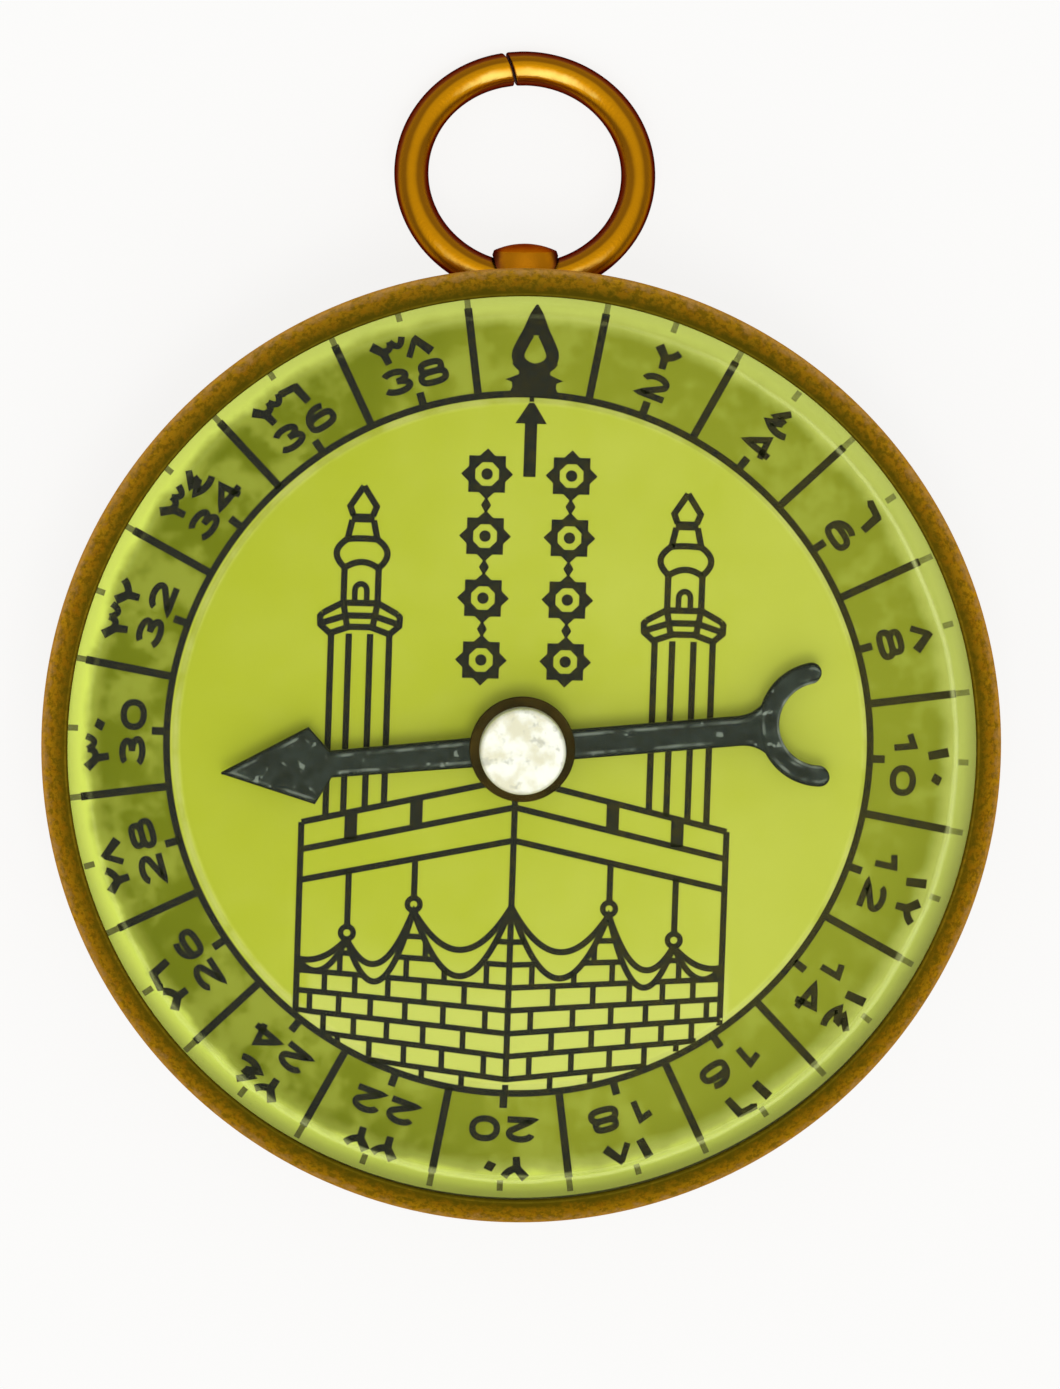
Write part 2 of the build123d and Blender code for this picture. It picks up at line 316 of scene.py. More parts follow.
class Paint:
    """Node tree of one material or sky, with the few steps that the finishes share."""

    def __init__(self, owner: bpy.types.Material | bpy.types.World) -> None:
        """Empties the owner's tree.

        Args:
            owner: The material or the world.
        """
        owner.use_nodes = True
        self.owner = owner
        self.tree = owner.node_tree
        self.tree.nodes.clear()

    def node(self, kind: str, settings: dict | None = None, inputs: dict | None = None) -> bpy.types.Node:
        """Adds a node.

        Args:
            kind: The node's type.
            settings: Its properties, set first.
            inputs: Values or signals for its sockets, by name or number.

        Returns:
            The node.
        """
        made = self.tree.nodes.new(kind)
        for key, value in (settings or {}).items():
            setattr(made, key, value)
        for key, value in (inputs or {}).items():
            if isinstance(value, Signal):
                self.tree.links.new(value.socket, made.inputs[key])
            else:
                made.inputs[key].default_value = value
        return made

    def out(self, node: bpy.types.Node, socket: str | int = 0) -> Signal:
        """One output of a node as a signal."""
        return Signal(self, node.outputs[socket])

    def maths(self, operation: str, first: Value, second: Value = 0.0) -> Signal:
        """A Math node on one or two values."""
        return self.out(self.node("ShaderNodeMath", {"operation": operation}, {0: first, 1: second}))

    def place(self) -> Signal:
        """Object coordinates in millimetres."""
        spot = self.out(self.node("ShaderNodeTexCoord"), "Object")
        return self.scaled(spot, (1 / MM, 1 / MM, 1 / MM))

    def scaled(self, vector: Signal, by: tuple[float, float, float]) -> Signal:
        """A vector times three numbers."""
        return self.out(self.node("ShaderNodeVectorMath", {"operation": "MULTIPLY"}, {0: vector, 1: by}))

    def axis_distance(self, centre: tuple[float, float] = (0.0, 0.0)) -> Signal:
        """Distance in millimetres from an upright line, which is the case axis unless a centre is given."""
        sockets = {0: self.scaled(self.place(), (1.0, 1.0, 0.0)), 1: (*centre, 0.0)}
        return self.out(self.node("ShaderNodeVectorMath", {"operation": "DISTANCE"}, sockets), "Value")

    def coordinate(self, axis: str) -> Signal:
        """One object coordinate, X, Y or Z, in millimetres."""
        return self.out(self.node("ShaderNodeSeparateXYZ", None, {0: self.place()}), axis)

    def attribute(self, name: str) -> Signal:
        """A point attribute of the mesh."""
        return self.out(self.node("ShaderNodeAttribute", {"attribute_name": name}), "Fac")

    def noise(self, vector: Signal, per_mm: float, detail: float = 3.0, rough: float = 0.55) -> Signal:
        """Noise from 0 to 1 with this many cells to the millimetre."""
        sockets = {"Vector": vector, "Scale": per_mm, "Detail": detail, "Roughness": rough}
        return self.out(self.node("ShaderNodeTexNoise", None, sockets), 0)

    def ring_noise(self, per_mm: float) -> Signal:
        """Noise drawn out round the case axis, as a turned or spun surface has.

        Args:
            per_mm: Cells to the millimetre.

        Returns:
            The noise, from 0 to 1.
        """
        sockets = {"X": self.axis_distance(), "Y": self.coordinate("Z"), "Z": 0.0}
        turned = self.out(self.node("ShaderNodeCombineXYZ", None, sockets))
        return self.noise(turned, per_mm, 2.0)

    def zone(self, value: Signal, start: float, stop: float) -> Signal:
        """Smooth step from 0 at the start to 1 at the stop.

        Args:
            value: What is measured.
            start: Where the step begins.
            stop: Where it ends.

        Returns:
            The step.
        """
        sockets = {"Value": value, "From Min": start, "From Max": stop}
        settings = {"interpolation_type": "SMOOTHSTEP"}
        return self.out(self.node("ShaderNodeMapRange", settings, sockets))

    def band(self, value: Signal, middle: float, half: float) -> Signal:
        """Soft band that is 1 at the middle and 0 half a width away on either side."""
        return self.zone(value, middle - half, middle) * (1 - self.zone(value, middle, middle + half))

    def blend(self, share: Value, first: Signal | Colour, second: Signal | Colour) -> Signal:
        """Colour that goes from the first to the second as the share goes from 0 to 1.

        Args:
            share: From 0 to 1.
            first: Colour at 0.
            second: Colour at 1.

        Returns:
            The colour.
        """
        colours = [c if isinstance(c, Signal) else (*c, 1.0) for c in (first, second)]
        sockets = {0: share, 6: colours[0], 7: colours[1]}
        return self.out(self.node("ShaderNodeMix", {"data_type": "RGBA"}, sockets), 2)

    def bump(self, relief: Signal, depth: float) -> Signal:
        """Normal tilted by a relief of this depth in millimetres."""
        sockets = {"Height": relief, "Distance": depth * MM, "Strength": 1.0}
        return self.out(self.node("ShaderNodeBump", None, sockets))

    def principled(self, inputs: dict) -> Signal:
        """A Principled shader."""
        return self.out(self.node("ShaderNodeBsdfPrincipled", None, inputs))

    def mix(self, share: Value, first: Signal, second: Signal) -> Signal:
        """Mix of two shaders."""
        return self.out(self.node("ShaderNodeMixShader", None, {0: share, 1: first, 2: second}))

    def show(self, shader: Signal) -> bpy.types.Material | bpy.types.World:
        """Puts a shader on the owner's output and returns the owner.

        Args:
            shader: The shader.

        Returns:
            The material or the world.
        """
        kind = "World" if isinstance(self.owner, bpy.types.World) else "Material"
        self.node(f"ShaderNodeOutput{kind}", None, {"Surface": shader})
        return self.owner

    def solid(self, inputs: dict) -> bpy.types.Material:
        """Shows one Principled shader and returns the owner."""
        return self.show(self.principled(inputs))


@dataclass(frozen=True)
class TonedBrass:
    """Lacquered brass gone brown-gold: grain round the axis, blotches of tone and small worn spots."""

    name: str
    bright: Colour
    deep: Colour
    edge: Colour
    roughness: float = 0.42
    blotch_per_mm: float = 0.55
    grain_per_mm: float = 9.0
    spot_per_mm: float = 5.0

    def material(self) -> bpy.types.Material:
        """Builds the material.

        Returns:
            The material.
        """
        paint = Paint(bpy.data.materials.new(self.name))
        place = paint.place()
        blotch = paint.zone(paint.noise(place, per_mm=self.blotch_per_mm, detail=4.0, rough=0.6), 0.34, 0.68)
        spot = paint.zone(paint.noise(place, per_mm=self.spot_per_mm, detail=2.0), 0.56, 0.74)
        grain = paint.ring_noise(self.grain_per_mm)
        tone = paint.blend(blotch, self.bright, self.deep)
        tone = paint.blend(spot * 0.5, tone, self.deep)
        shine = self.roughness + 0.1 * blotch + 0.08 * grain
        relief = grain * 0.6 + paint.noise(place, per_mm=2.2, detail=3.0) * 0.4
        return paint.solid(
            {
                "Base Color": tone,
                "Metallic": 1.0,
                "Roughness": shine,
                "Specular Tint": (*self.edge, 1.0),
                "Normal": paint.bump(relief, 0.02),
            }
        )


@dataclass(frozen=True)
class RimBrass:
    """Brass of the bezel: spotted gold-brown, with painted shade along the cap and towards the top and
    bottom, and a painted highlight paler outside.
    """

    name: str
    rubbed: Colour
    bright: Colour
    deep: Colour
    grime_and_shade: Colour
    inner_radius: float
    outer_radius: float

    def material(self) -> bpy.types.Material:
        """Builds the material.

        Returns:
            The material.
        """
        paint = Paint(bpy.data.materials.new(self.name))
        place = paint.place()
        streak = paint.noise(place, per_mm=1.8, detail=4.0, rough=0.7)
        spot = paint.zone(paint.noise(place, per_mm=3.4, detail=3.0, rough=0.7), 0.42, 0.62)
        grain = paint.ring_noise(9.0)
        # Painted shade: the bezel darker towards its top and bottom.
        ends = paint.zone(paint.maths("ABSOLUTE", paint.coordinate("Y")), 6.0, self.outer_radius)
        radius = paint.axis_distance() + (streak - 0.5) * 1.3
        room = self.outer_radius - self.inner_radius
        # Painted shade along the lip by the cap, and a painted highlight on the outer shoulder.
        lip_shade = 1 - paint.zone(radius, self.inner_radius + 0.1 * room, self.inner_radius + 0.65 * room)
        worn = paint.zone(radius, self.outer_radius - 0.35 * room, self.outer_radius + 0.05 * room)
        tone = paint.blend(paint.zone(streak, 0.28, 0.72), self.bright, self.deep)
        tone = paint.blend(spot * 0.6, tone, self.grime_and_shade)
        tone = paint.blend(lip_shade * 0.85 + ends * 0.2, tone, self.grime_and_shade)
        tone = paint.blend(worn * 0.7, tone, self.rubbed)
        return paint.solid(
            {
                "Base Color": tone,
                "Metallic": 1.0,
                "Roughness": 0.44 + 0.1 * spot + 0.08 * grain,
                "Specular Tint": (*self.rubbed, 1.0),
                "Normal": paint.bump(grain * 0.5 + spot * 0.5, 0.015),
            }
        )


@dataclass(frozen=True)
class LugBrass:
    """Turned brass of the lug: a painted gold highlight along its crown, red-brown at its end and painted
    shade down its sides.
    """

    name: str
    gold: Colour
    red: Colour
    dark: Colour
    half_width: float
    end: float

    def material(self) -> bpy.types.Material:
        """Builds the material.

        Returns:
            The material.
        """
        paint = Paint(bpy.data.materials.new(self.name))
        place = paint.place()
        blotch = paint.noise(place, per_mm=0.9, detail=3.0) - 0.5
        speck = paint.noise(place, per_mm=6.0, detail=2.0)
        aside = paint.maths("ABSOLUTE", paint.coordinate("X")) + blotch * 0.9
        along = paint.coordinate("Y") + blotch * 0.8
        tone = paint.blend(paint.zone(along, self.end - 1.2, self.end - 0.3), self.gold, self.red)
        # Painted shade down the lug's sides, leaving a painted highlight of gold along its crown.
        tone = paint.blend(paint.zone(aside, 0.5 * self.half_width, 0.95 * self.half_width), tone, self.dark)
        return paint.solid(
            {
                "Base Color": tone,
                "Metallic": 1.0,
                "Roughness": 0.36 + 0.12 * speck,
                "Specular Tint": (*self.dark, 1.0),
                "Normal": paint.bump(speck, 0.008),
            }
        )


@dataclass(frozen=True)
class WireBrass:
    """Drawn brass wire, painted with light: a painted highlight along its crown, then gold, brown, and
    red-brown painted shade along its flanks. The mark on its mesh is 1 along the painted highlight and falls
    below nothing down the flanks.
    """

    name: str
    bright: Colour
    gold: Colour
    brown: Colour
    red: Colour
    roughness: float = 0.22
    painted_light_mark: str = "painted_light"

    def material(self) -> bpy.types.Material:
        """Builds the material.

        Returns:
            The material.
        """
        paint = Paint(bpy.data.materials.new(self.name))
        place = paint.place()
        blotch = paint.noise(place, per_mm=0.8, detail=3.0)
        patch = paint.zone(paint.noise(place, per_mm=0.3, detail=2.0), 0.42, 0.6)
        # Painted light: the mark sets the painted highlight and the painted shade down the flanks.
        painted_light = paint.attribute(self.painted_light_mark) + (blotch - 0.5) * 0.22
        tone = paint.blend(paint.zone(painted_light, -0.8, -0.3), self.red, self.brown)
        tone = paint.blend(paint.zone(painted_light, 0.3, 0.75), tone, self.gold)
        tone = paint.blend(paint.zone(painted_light, 0.86, 0.98) * (1 - 0.45 * patch), tone, self.bright)
        scratch = paint.noise(paint.scaled(place, (1.0, 1.0, 6.0)), per_mm=3.0, detail=3.0)
        return paint.solid(
            {
                "Base Color": tone,
                "Metallic": 1.0,
                "Roughness": self.roughness + 0.1 * blotch + 0.06 * scratch,
                "Specular Tint": (*self.red, 1.0),
                "Normal": paint.bump(scratch, 0.012),
            }
        )


@dataclass(frozen=True)
class DialPaint:
    """Yellow-green print on a stamped sheet: a field, a lit edge round it and a darker ring for the figures.

    Both grow paler from the left of the dial to the right, which is painted light. The field has a painted
    highlight where the bricks are printed low down, and the ring is painted paler under the cap's skirt and
    in a strip at its edge, a painted veil of the skirt's light.
    """

    name: str
    field_left: Colour
    field_right: Colour
    ring_left: Colour
    ring_right: Colour
    lit: Colour
    skirt_left: Colour
    skirt_right: Colour
    strip_low: Colour
    strip_high: Colour
    step_radius: float
    ring_radius: float
    skirt_radius: float
    strip_radius: float
    reach: float
    brick_half: float
    brick_top: float

    def material(self) -> bpy.types.Material:
        """Builds the material.

        Returns:
            The material.
        """
        paint = Paint(bpy.data.materials.new(self.name))
        place = paint.place()
        radius, across, upward = paint.axis_distance(), paint.coordinate("X"), paint.coordinate("Y")
        mottle = paint.noise(place, per_mm=0.16, detail=4.0, rough=0.6) - 0.5
        cloud = paint.noise(place, per_mm=0.6, detail=3.0) - 0.5
        speck = paint.noise(place, per_mm=7.0, detail=2.0)
        # Painted light: the field is paler towards the right of the dial.
        right = paint.zone(across + mottle * 45.0 + cloud * 12.0, -self.reach, self.reach)
        centre = paint.blend(right, self.field_left, self.field_right)
        # Painted highlight: the field is paler low down where the bricks are printed.
        wall = 1 - paint.zone(paint.maths("ABSOLUTE", across), self.brick_half - 0.3, self.brick_half + 0.1)
        painted_lit_bricks = wall * paint.zone(upward + cloud, self.brick_top, self.brick_top - 4.0)
        centre = paint.blend(painted_lit_bricks * 0.5, centre, self.lit)
        edge = paint.band(radius, self.step_radius, 0.32) * paint.zone(cloud + mottle, -0.35, 0.15)
        centre = paint.blend(edge * 0.7, centre, self.lit)
        # Painted light: the ring of cells is paler towards the right of the dial.
        painted_light_side = paint.zone(across + mottle * 14.0, -0.6 * self.reach, 0.1 * self.reach)
        cell = paint.blend(painted_light_side, self.ring_left, self.ring_right)
        cell = paint.blend(paint.zone(cloud + mottle, -0.08, 0.18) * 0.6, cell, self.skirt_left)
        # Painted veil of the cap's skirt: the cells are painted paler under it.
        under = paint.zone(radius + cloud * 0.6, self.skirt_radius - 0.45, self.skirt_radius + 0.45)
        cell = paint.blend(under, cell, paint.blend(painted_light_side, self.skirt_left, self.skirt_right))
        # Painted light: the strip at the edge is painted pale like the skirt's veil, and brighter towards the
        # lower left to make up for the shade there.
        slope = paint.zone(across + upward, -self.reach, self.reach)
        strip = paint.blend(slope, self.strip_low, self.strip_high)
        outside = paint.zone(radius + cloud * 0.9, self.strip_radius - 0.35, self.strip_radius + 0.2)
        cell = paint.blend(outside, cell, strip)
        tone = paint.blend(paint.zone(radius, self.ring_radius - 0.1, self.ring_radius), centre, cell)
        tone = paint.blend(paint.zone(speck, 0.62, 0.8) * 0.15, tone, self.ring_left)
        return paint.solid(
            {
                "Base Color": tone,
                "Roughness": 0.5 + 0.12 * speck,
                "Specular IOR Level": 0.12,
                "Normal": paint.bump(paint.noise(place, per_mm=3.0, detail=4.0), 0.006),
            }
        )


@dataclass(frozen=True)
class PrintInk:
    """Black printing ink, thin and brownish in places, and browner towards the right of the dial, which is
    painted light.
    """

    name: str
    full: Colour
    thin: Colour
    reach: float

    def material(self) -> bpy.types.Material:
        """Builds the material.

        Returns:
            The material.
        """
        paint = Paint(bpy.data.materials.new(self.name))
        place = paint.place()
        # Painted light: the ink is browner towards the right, where the dial is painted paler.
        right = paint.zone(paint.coordinate("X"), -0.4 * self.reach, self.reach)
        worn = paint.zone(paint.noise(place, per_mm=3.5, detail=4.0, rough=0.7) + right * 0.25, 0.45, 0.85)
        tone = paint.blend(worn, self.full, self.thin)
        return paint.solid(
            {
                "Base Color": tone,
                "Roughness": 0.5 + 0.15 * worn,
                "Specular IOR Level": 0.12,
                "Normal": paint.bump(paint.noise(place, per_mm=12.0, detail=2.0), 0.004),
            }
        )


@dataclass(frozen=True)
class BluedSteel:
    """Blued sheet steel: painted shade along its edges, mottled blue-grey inside them, with lines along the
    edges that are partly rubbed wear and partly painted highlight, and bright flecks. The hollow of its
    crescent is painted nearly bright, a painted reflection.
    """

    name: str
    dark: Colour
    grey: Colour
    rubbed: Colour
    hollow: tuple[float, float]
    hollow_radius: float
    rim_mark: str = "rim"

    def material(self) -> bpy.types.Material:
        """Builds the material.

        Returns:
            The material.
        """
        paint = Paint(bpy.data.materials.new(self.name))
        place = paint.place()
        rim = paint.attribute(self.rim_mark)
        blotch = paint.zone(paint.noise(place, per_mm=1.1, detail=4.0, rough=0.65), 0.36, 0.66)
        speck = paint.zone(paint.noise(place, per_mm=4.0, detail=3.0, rough=0.7), 0.4, 0.7)
        patch = paint.zone(paint.noise(place, per_mm=0.8, detail=3.0), 0.42, 0.6)
        # Painted shade: the edges stay dark, and the steel is mottled only inside them.
        inside = paint.zone(rim, 0.08, 0.19)
        # Partly wear and partly painted highlight: a paler line just inside the edges.
        wear_and_sheen = paint.band(rim, 0.25, 0.12) * patch
        fleck = paint.zone(paint.noise(place, per_mm=1.9, detail=2.0), 0.65, 0.71) * inside
        # Painted reflection: a bright band in the hollow of the crescent.
        worn = paint.band(paint.axis_distance(self.hollow), self.hollow_radius, 0.13) * (0.35 + 0.65 * patch)
        tone = paint.blend((0.5 * blotch + 0.5 * speck) * inside, self.dark, self.grey)
        tone = paint.blend(wear_and_sheen * 0.45 + fleck * 0.5 + worn * 0.9, tone, self.rubbed)
        return paint.solid(
            {
                "Base Color": tone,
                "Metallic": 0.4,
                "Roughness": 0.42 + 0.2 * blotch,
                "Specular IOR Level": 0.2,
                "Normal": paint.bump(paint.noise(place, per_mm=2.4, detail=4.0), 0.04),
            }
        )


@dataclass(frozen=True)
class BrightCap:
    """Bright rolled aluminium with cream and grey handling marks."""

    name: str
    clean: Colour
    cream: Colour
    worn: Colour

    def material(self) -> bpy.types.Material:
        """Builds the material.

        Returns:
            The material.
        """
        paint = Paint(bpy.data.materials.new(self.name))
        place = paint.place()
        stain = paint.zone(paint.noise(place, per_mm=0.8, detail=4.0, rough=0.6), 0.42, 0.62)
        scuff = paint.zone(paint.noise(place, per_mm=1.3, detail=4.0, rough=0.7), 0.54, 0.68)
        tone = paint.blend(stain, self.clean, self.cream)
        tone = paint.blend(scuff * 0.7, tone, self.worn)
        return paint.solid(
            {
                "Base Color": tone,
                "Metallic": 0.3,
                "Roughness": 0.36 + 0.2 * stain,
                "Normal": paint.bump(paint.noise(place, per_mm=1.5, detail=3.0), 0.03),
            }
        )


@dataclass(frozen=True)
class ClearCap:
    """Clear moulded cap: see-through with a light gloss, hazy over its skirt, with a painted highlight along
    the bend. The painted highlight, a whitish band, shows most on the lower right.
    """

    name: str
    tint: Colour
    haze: Colour
    skirt_radius: float
    rim_radius: float
    bend_radius: float
    gloss: float = 0.16
    cloud: float = 0.05
    bend_highlight: float = 0.3

    def material(self) -> bpy.types.Material:
        """Builds the material.

        Returns:
            The material.
        """
        paint = Paint(bpy.data.materials.new(self.name))
        fresnel = paint.out(paint.node("ShaderNodeFresnel", None, {"IOR": 1.46}))
        radius, smear = paint.axis_distance(), paint.noise(paint.place(), per_mm=0.3, detail=3.0)
        skirt = paint.zone(radius, self.skirt_radius, self.rim_radius)
        corner = paint.coordinate("X") - paint.coordinate("Y")
        side = paint.zone(corner, -1.2 * self.rim_radius, 0.8 * self.rim_radius)
        # Painted highlight: a whitish band along the bend, strongest towards the lower right.
        bend = paint.band(radius + (smear - 0.5) * 0.3, self.bend_radius, 0.18) * (0.15 + 0.85 * side)
        clear = paint.out(paint.node("ShaderNodeBsdfTransparent", None, {"Color": (*self.tint, 1.0)}))
        dull = paint.zone(skirt + bend, 0.0, 0.6)
        film = paint.principled(
            {"Base Color": (*self.haze, 1.0), "Metallic": 1 - dull, "Roughness": 0.05 + 0.08 * smear}
        )
        glossy = 1 - paint.zone(radius, self.skirt_radius - 0.3, self.skirt_radius)
        share = fresnel * glossy * self.gloss + skirt * self.cloud + bend * self.bend_highlight
        return paint.show(paint.mix(share, clear, film))


@dataclass(frozen=True)
class GroundSteel:
    """Ground steel with fine turning marks."""

    name: str
    tone: Colour
    dull: Colour

    def material(self) -> bpy.types.Material:
        """Builds the material.

        Returns:
            The material.
        """
        paint = Paint(bpy.data.materials.new(self.name))
        grain = paint.noise(paint.scaled(paint.place(), (1.0, 1.0, 8.0)), per_mm=4.0)
        return paint.solid(
            {
                "Base Color": paint.blend(grain, self.tone, self.dull),
                "Metallic": 1.0,
                "Roughness": 0.2 + 0.25 * grain,
            }
        )


@dataclass(frozen=True)
class BearingStone:
    """Polished red bearing stone with faint clouds."""

    name: str
    red: Colour
    cloud: Colour

    def material(self) -> bpy.types.Material:
        """Builds the material.

        Returns:
            The material.
        """
        paint = Paint(bpy.data.materials.new(self.name))
        veil = paint.noise(paint.place(), per_mm=1.8, detail=3.0)
        tone = paint.blend(veil, self.red, self.cloud)
        return paint.solid({"Base Color": tone, "Roughness": 0.08 + 0.1 * veil})


# Pieces


def finished(
    name: str,
    mesh: bpy.types.Mesh,
    material: bpy.types.Material,
    body: str,
    replaced: Iterable[str] = (),
) -> bpy.types.Object:
    """Makes a piece: an object at the origin with its finish, riding on a body.

    Args:
        name: The piece's name.
        mesh: Its mesh.
        material: Its finish.
        body: The CAD body that it rides on.
        replaced: CAD nodes that it stands for.

    Returns:
        The object.
    """
    piece = bpy.data.objects.new(name, mesh)
    bpy.context.scene.collection.objects.link(piece)
    mesh.materials.append(material)
    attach(piece, body)
    if replaced:
        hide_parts(*replaced)
    log.info("%s: %d faces on %s", name, len(mesh.polygons), body)
    return piece


def spun(
    name: str,
    profile: Array,
    segments: int,
    material: bpy.types.Material,
    body: str,
    node: str,
    closed: bool = True,
) -> None:
    """Makes a piece by turning a profile about the case axis.

    Args:
        name: The piece's name.
        profile: Its section as points (r, z).
        segments: Number of angles in a full turn.
        material: Its finish.
        body: The CAD body that it rides on.
        node: CAD node that it stands for.
        closed: False where the section runs from the axis to the axis.
    """
    shell = Shell()
    shell.add(revolved(profile, segments), wrap_rows=closed)
    finished(name, shell.mesh(name), material, body, [node])


def redressed(node: str, material: bpy.types.Material) -> None:
    """Gives a CAD node that stays as it is a better finish.

    Args:
        node: Name of the CAD node.
        material: Its finish.
    """
    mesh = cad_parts[node].data
    mesh.materials.clear()
    mesh.materials.append(material)
    log.info("%s: kept with a new finish", node)


@dataclass
class Case:
    """The drawn pan and the bezel that is rolled over the crystal and under the flange."""

    pan_radius: float = 20.2
    sheet: float = 0.45
    pan_corner: float = 2.0
    flange_bend: float = 0.3
    panel_radius: float = 14.0
    panel_slope: float = 0.6
    panel_depth: float = 0.3
    lip_radius: float = 21.25
    lip_under: float = 10.58
    lip_edge: float = 0.3
    lip_root: float = 9.88
    shoulder_radius: float = 22.54
    shoulder_slope: float = 38.0
    shoulder_round: float = 0.7
    foot_radius: float = 22.19
    foot_round: float = 0.9
    edge_round: float = 0.12
    roll_inner: float = 20.8
    bezel_wall: float = 0.59
    segments: int = 256

    def pan_profile(self) -> Array:
        """Closed section of the pan, from the middle of the back out to the flange and back inside.

        Returns:
            Points (r, z).
        """
        _, top = node_box("case_pan")
        flange, mouth = top[0], top[2]
        under, inner = mouth - self.sheet, self.pan_radius - self.sheet
        floor = self.panel_depth + self.sheet
        foot = self.panel_radius + self.panel_slope
        outside = [
            (0.0, self.panel_depth, 0.0),
            (self.panel_radius, self.panel_depth, self.flange_bend),
            (foot, 0.0, self.flange_bend),
            (self.pan_radius, 0.0, self.pan_corner),
            (self.pan_radius, under, self.flange_bend),
            (flange, under, self.edge_round),
        ]
        inside = [
            (flange, mouth, self.edge_round),
            (inner, mouth, self.flange_bend + self.sheet),
            (inner, self.sheet, self.pan_corner - self.sheet),
            (foot, self.sheet, self.flange_bend),
            (self.panel_radius, floor, self.flange_bend),
            (0.0, floor, 0.0),
        ]
        return rounded(outside + inside)

    def bezel_profile(self) -> Array:
        """Closed section of the bezel: lip on the bevel, sloping shoulder, wall and rolled foot.

        Returns:
            Points (r, z).
        """
        bottom = node_box("bezel")[0][2]
        under, top = bottom + self.sheet, self.lip_under + self.lip_edge
        slope = math.tan(math.radians(self.shoulder_slope))
        shoulder = top - (self.shoulder_radius - self.lip_radius) * slope
        return rounded(
            [
                (self.roll_inner, bottom, self.edge_round),
                (self.foot_radius, bottom, self.foot_round),
                (self.shoulder_radius, shoulder, self.shoulder_round),
                (self.lip_radius, top, self.edge_round),
                (self.lip_radius, self.lip_under, 0.0),
                (self.shoulder_radius - self.bezel_wall, self.lip_root, 0.0),
                (self.foot_radius - self.bezel_wall, under, 0.0),
                (self.roll_inner, under, 0.0),
            ]
        )

    def build(self, pan_brass: TonedBrass, rim_brass: RimBrass) -> None:
        """Builds the pan and the bezel and dresses them in brass.

        Args:
            pan_brass: Finish of the pan.
            rim_brass: Finish of the bezel.
        """
        pan, bezel = self.pan_profile(), self.bezel_profile()
        spun("pan_shell", pan, self.segments, pan_brass.material(), "case", "case_pan")
        spun("rolled_bezel", bezel, self.segments, rim_brass.material(), "case", "bezel")


@dataclass
class Crystal:
    """The clear domed cap with its skirt and bevel."""

    thickness: float = 1.05
    edge_top: float = 10.6
    bevel: float = 0.7
    bevel_radius: float = 21.2
    skirt_inner: float = 20.55
    skirt_foot: float = 21.55
    skirt_bend: float = 0.5
    bend_room: float = 0.6
    bevel_round: float = 0.12
    foot_gap: float = 0.03
    dome_points: int = 32
    segments: int = 192

    def profile(self) -> Array:
        """Section from the axis underneath, round the skirt and back to the axis over the dome.

        The dome is a circle through the crown and the bevel's top, and the vault is the same circle less the
        thickness. The foot stops a hair above the painted ring.

        Returns:
            Points (r, z).
        """
        low, high = node_box("crystal")
        foot, crown = low[2] + self.foot_gap, high[2]
        rise = crown - self.edge_top
        dome = (self.bevel_radius**2 + rise**2) / (2 * rise)
        vault, centre = dome - self.thickness, crown - dome
        spokes = np.linspace(0, self.skirt_inner - self.bend_room, self.dome_points)
        ceiling = np.stack([spokes, centre + np.sqrt(vault**2 - spokes**2)], axis=-1)
        face = np.stack([spokes, centre + np.sqrt(dome**2 - spokes**2)], axis=-1)
        skirt = rounded(
            [
                (*ceiling[-1], 0.0),
                (self.skirt_inner, centre + math.sqrt(vault**2 - self.skirt_inner**2), self.skirt_bend),
                (self.skirt_inner, foot, 0.0),
                (self.skirt_foot, foot, 0.0),
                (self.bevel_radius + self.bevel, self.edge_top - self.bevel, self.bevel_round),
                (self.bevel_radius, self.edge_top, self.bevel_round),
                (*face[-1], 0.0),
            ]
        )
        return np.concatenate([ceiling[:-1], skirt, face[-2::-1]])

    def build(self, clear: ClearCap) -> None:
        """Builds the cap and makes it clear."""
        section, finish = self.profile(), clear.material()
        spun("clear_cap", section, self.segments, finish, "case", "crystal", closed=False)


# Print


@dataclass
class Stroke:
    """One inked line: its path, its half width along the path, and whether it closes."""

    path: Array
    half: float | Callable[[Array], Array]
    closed: bool = False

    def moved(self, origin: Array, right: Array, up: Array) -> "Stroke":
        """The stroke carried from its own axes to an origin with a right and an up direction."""
        return Stroke(origin + self.path[:, :1] * right + self.path[:, 1:] * up, self.half, self.closed)


def taper(first: float, last: float) -> Callable[[Array], Array]:
    """Half width that goes evenly from the first to the last along the stroke."""
    return lambda share: first + (last - first) * share


def spindle(x: float, *stops: tuple[float, float]) -> Stroke:
    """A filled upright shape about a line at x, through stops of level and half width.

    Args:
        x: Place of the line.
        *stops: Pairs of level and half width, upwards.

    Returns:
        The stroke.
    """
    levels, widths = np.array(stops, float).T
    share = (levels - levels[0]) / (levels[-1] - levels[0])
    spine = np.stack([np.full(len(levels), x), levels], axis=-1)
    return Stroke(spine, lambda at: np.interp(at, share, widths))


def dot(x: float, y: float, radius: float) -> Stroke:
    """A round dot: a spindle whose half width is the circle's."""
    turn = np.radians(np.linspace(-87, 87, 13))
    return spindle(x, *zip(y + radius * np.sin(turn), radius * np.cos(turn)))


def lozenge(x: float, y: float, across: float, upward: float) -> Stroke:
    """A filled lozenge: a spindle that widens to its middle."""
    return spindle(x, (y - upward, 0.01), (y, across), (y + upward, 0.01))


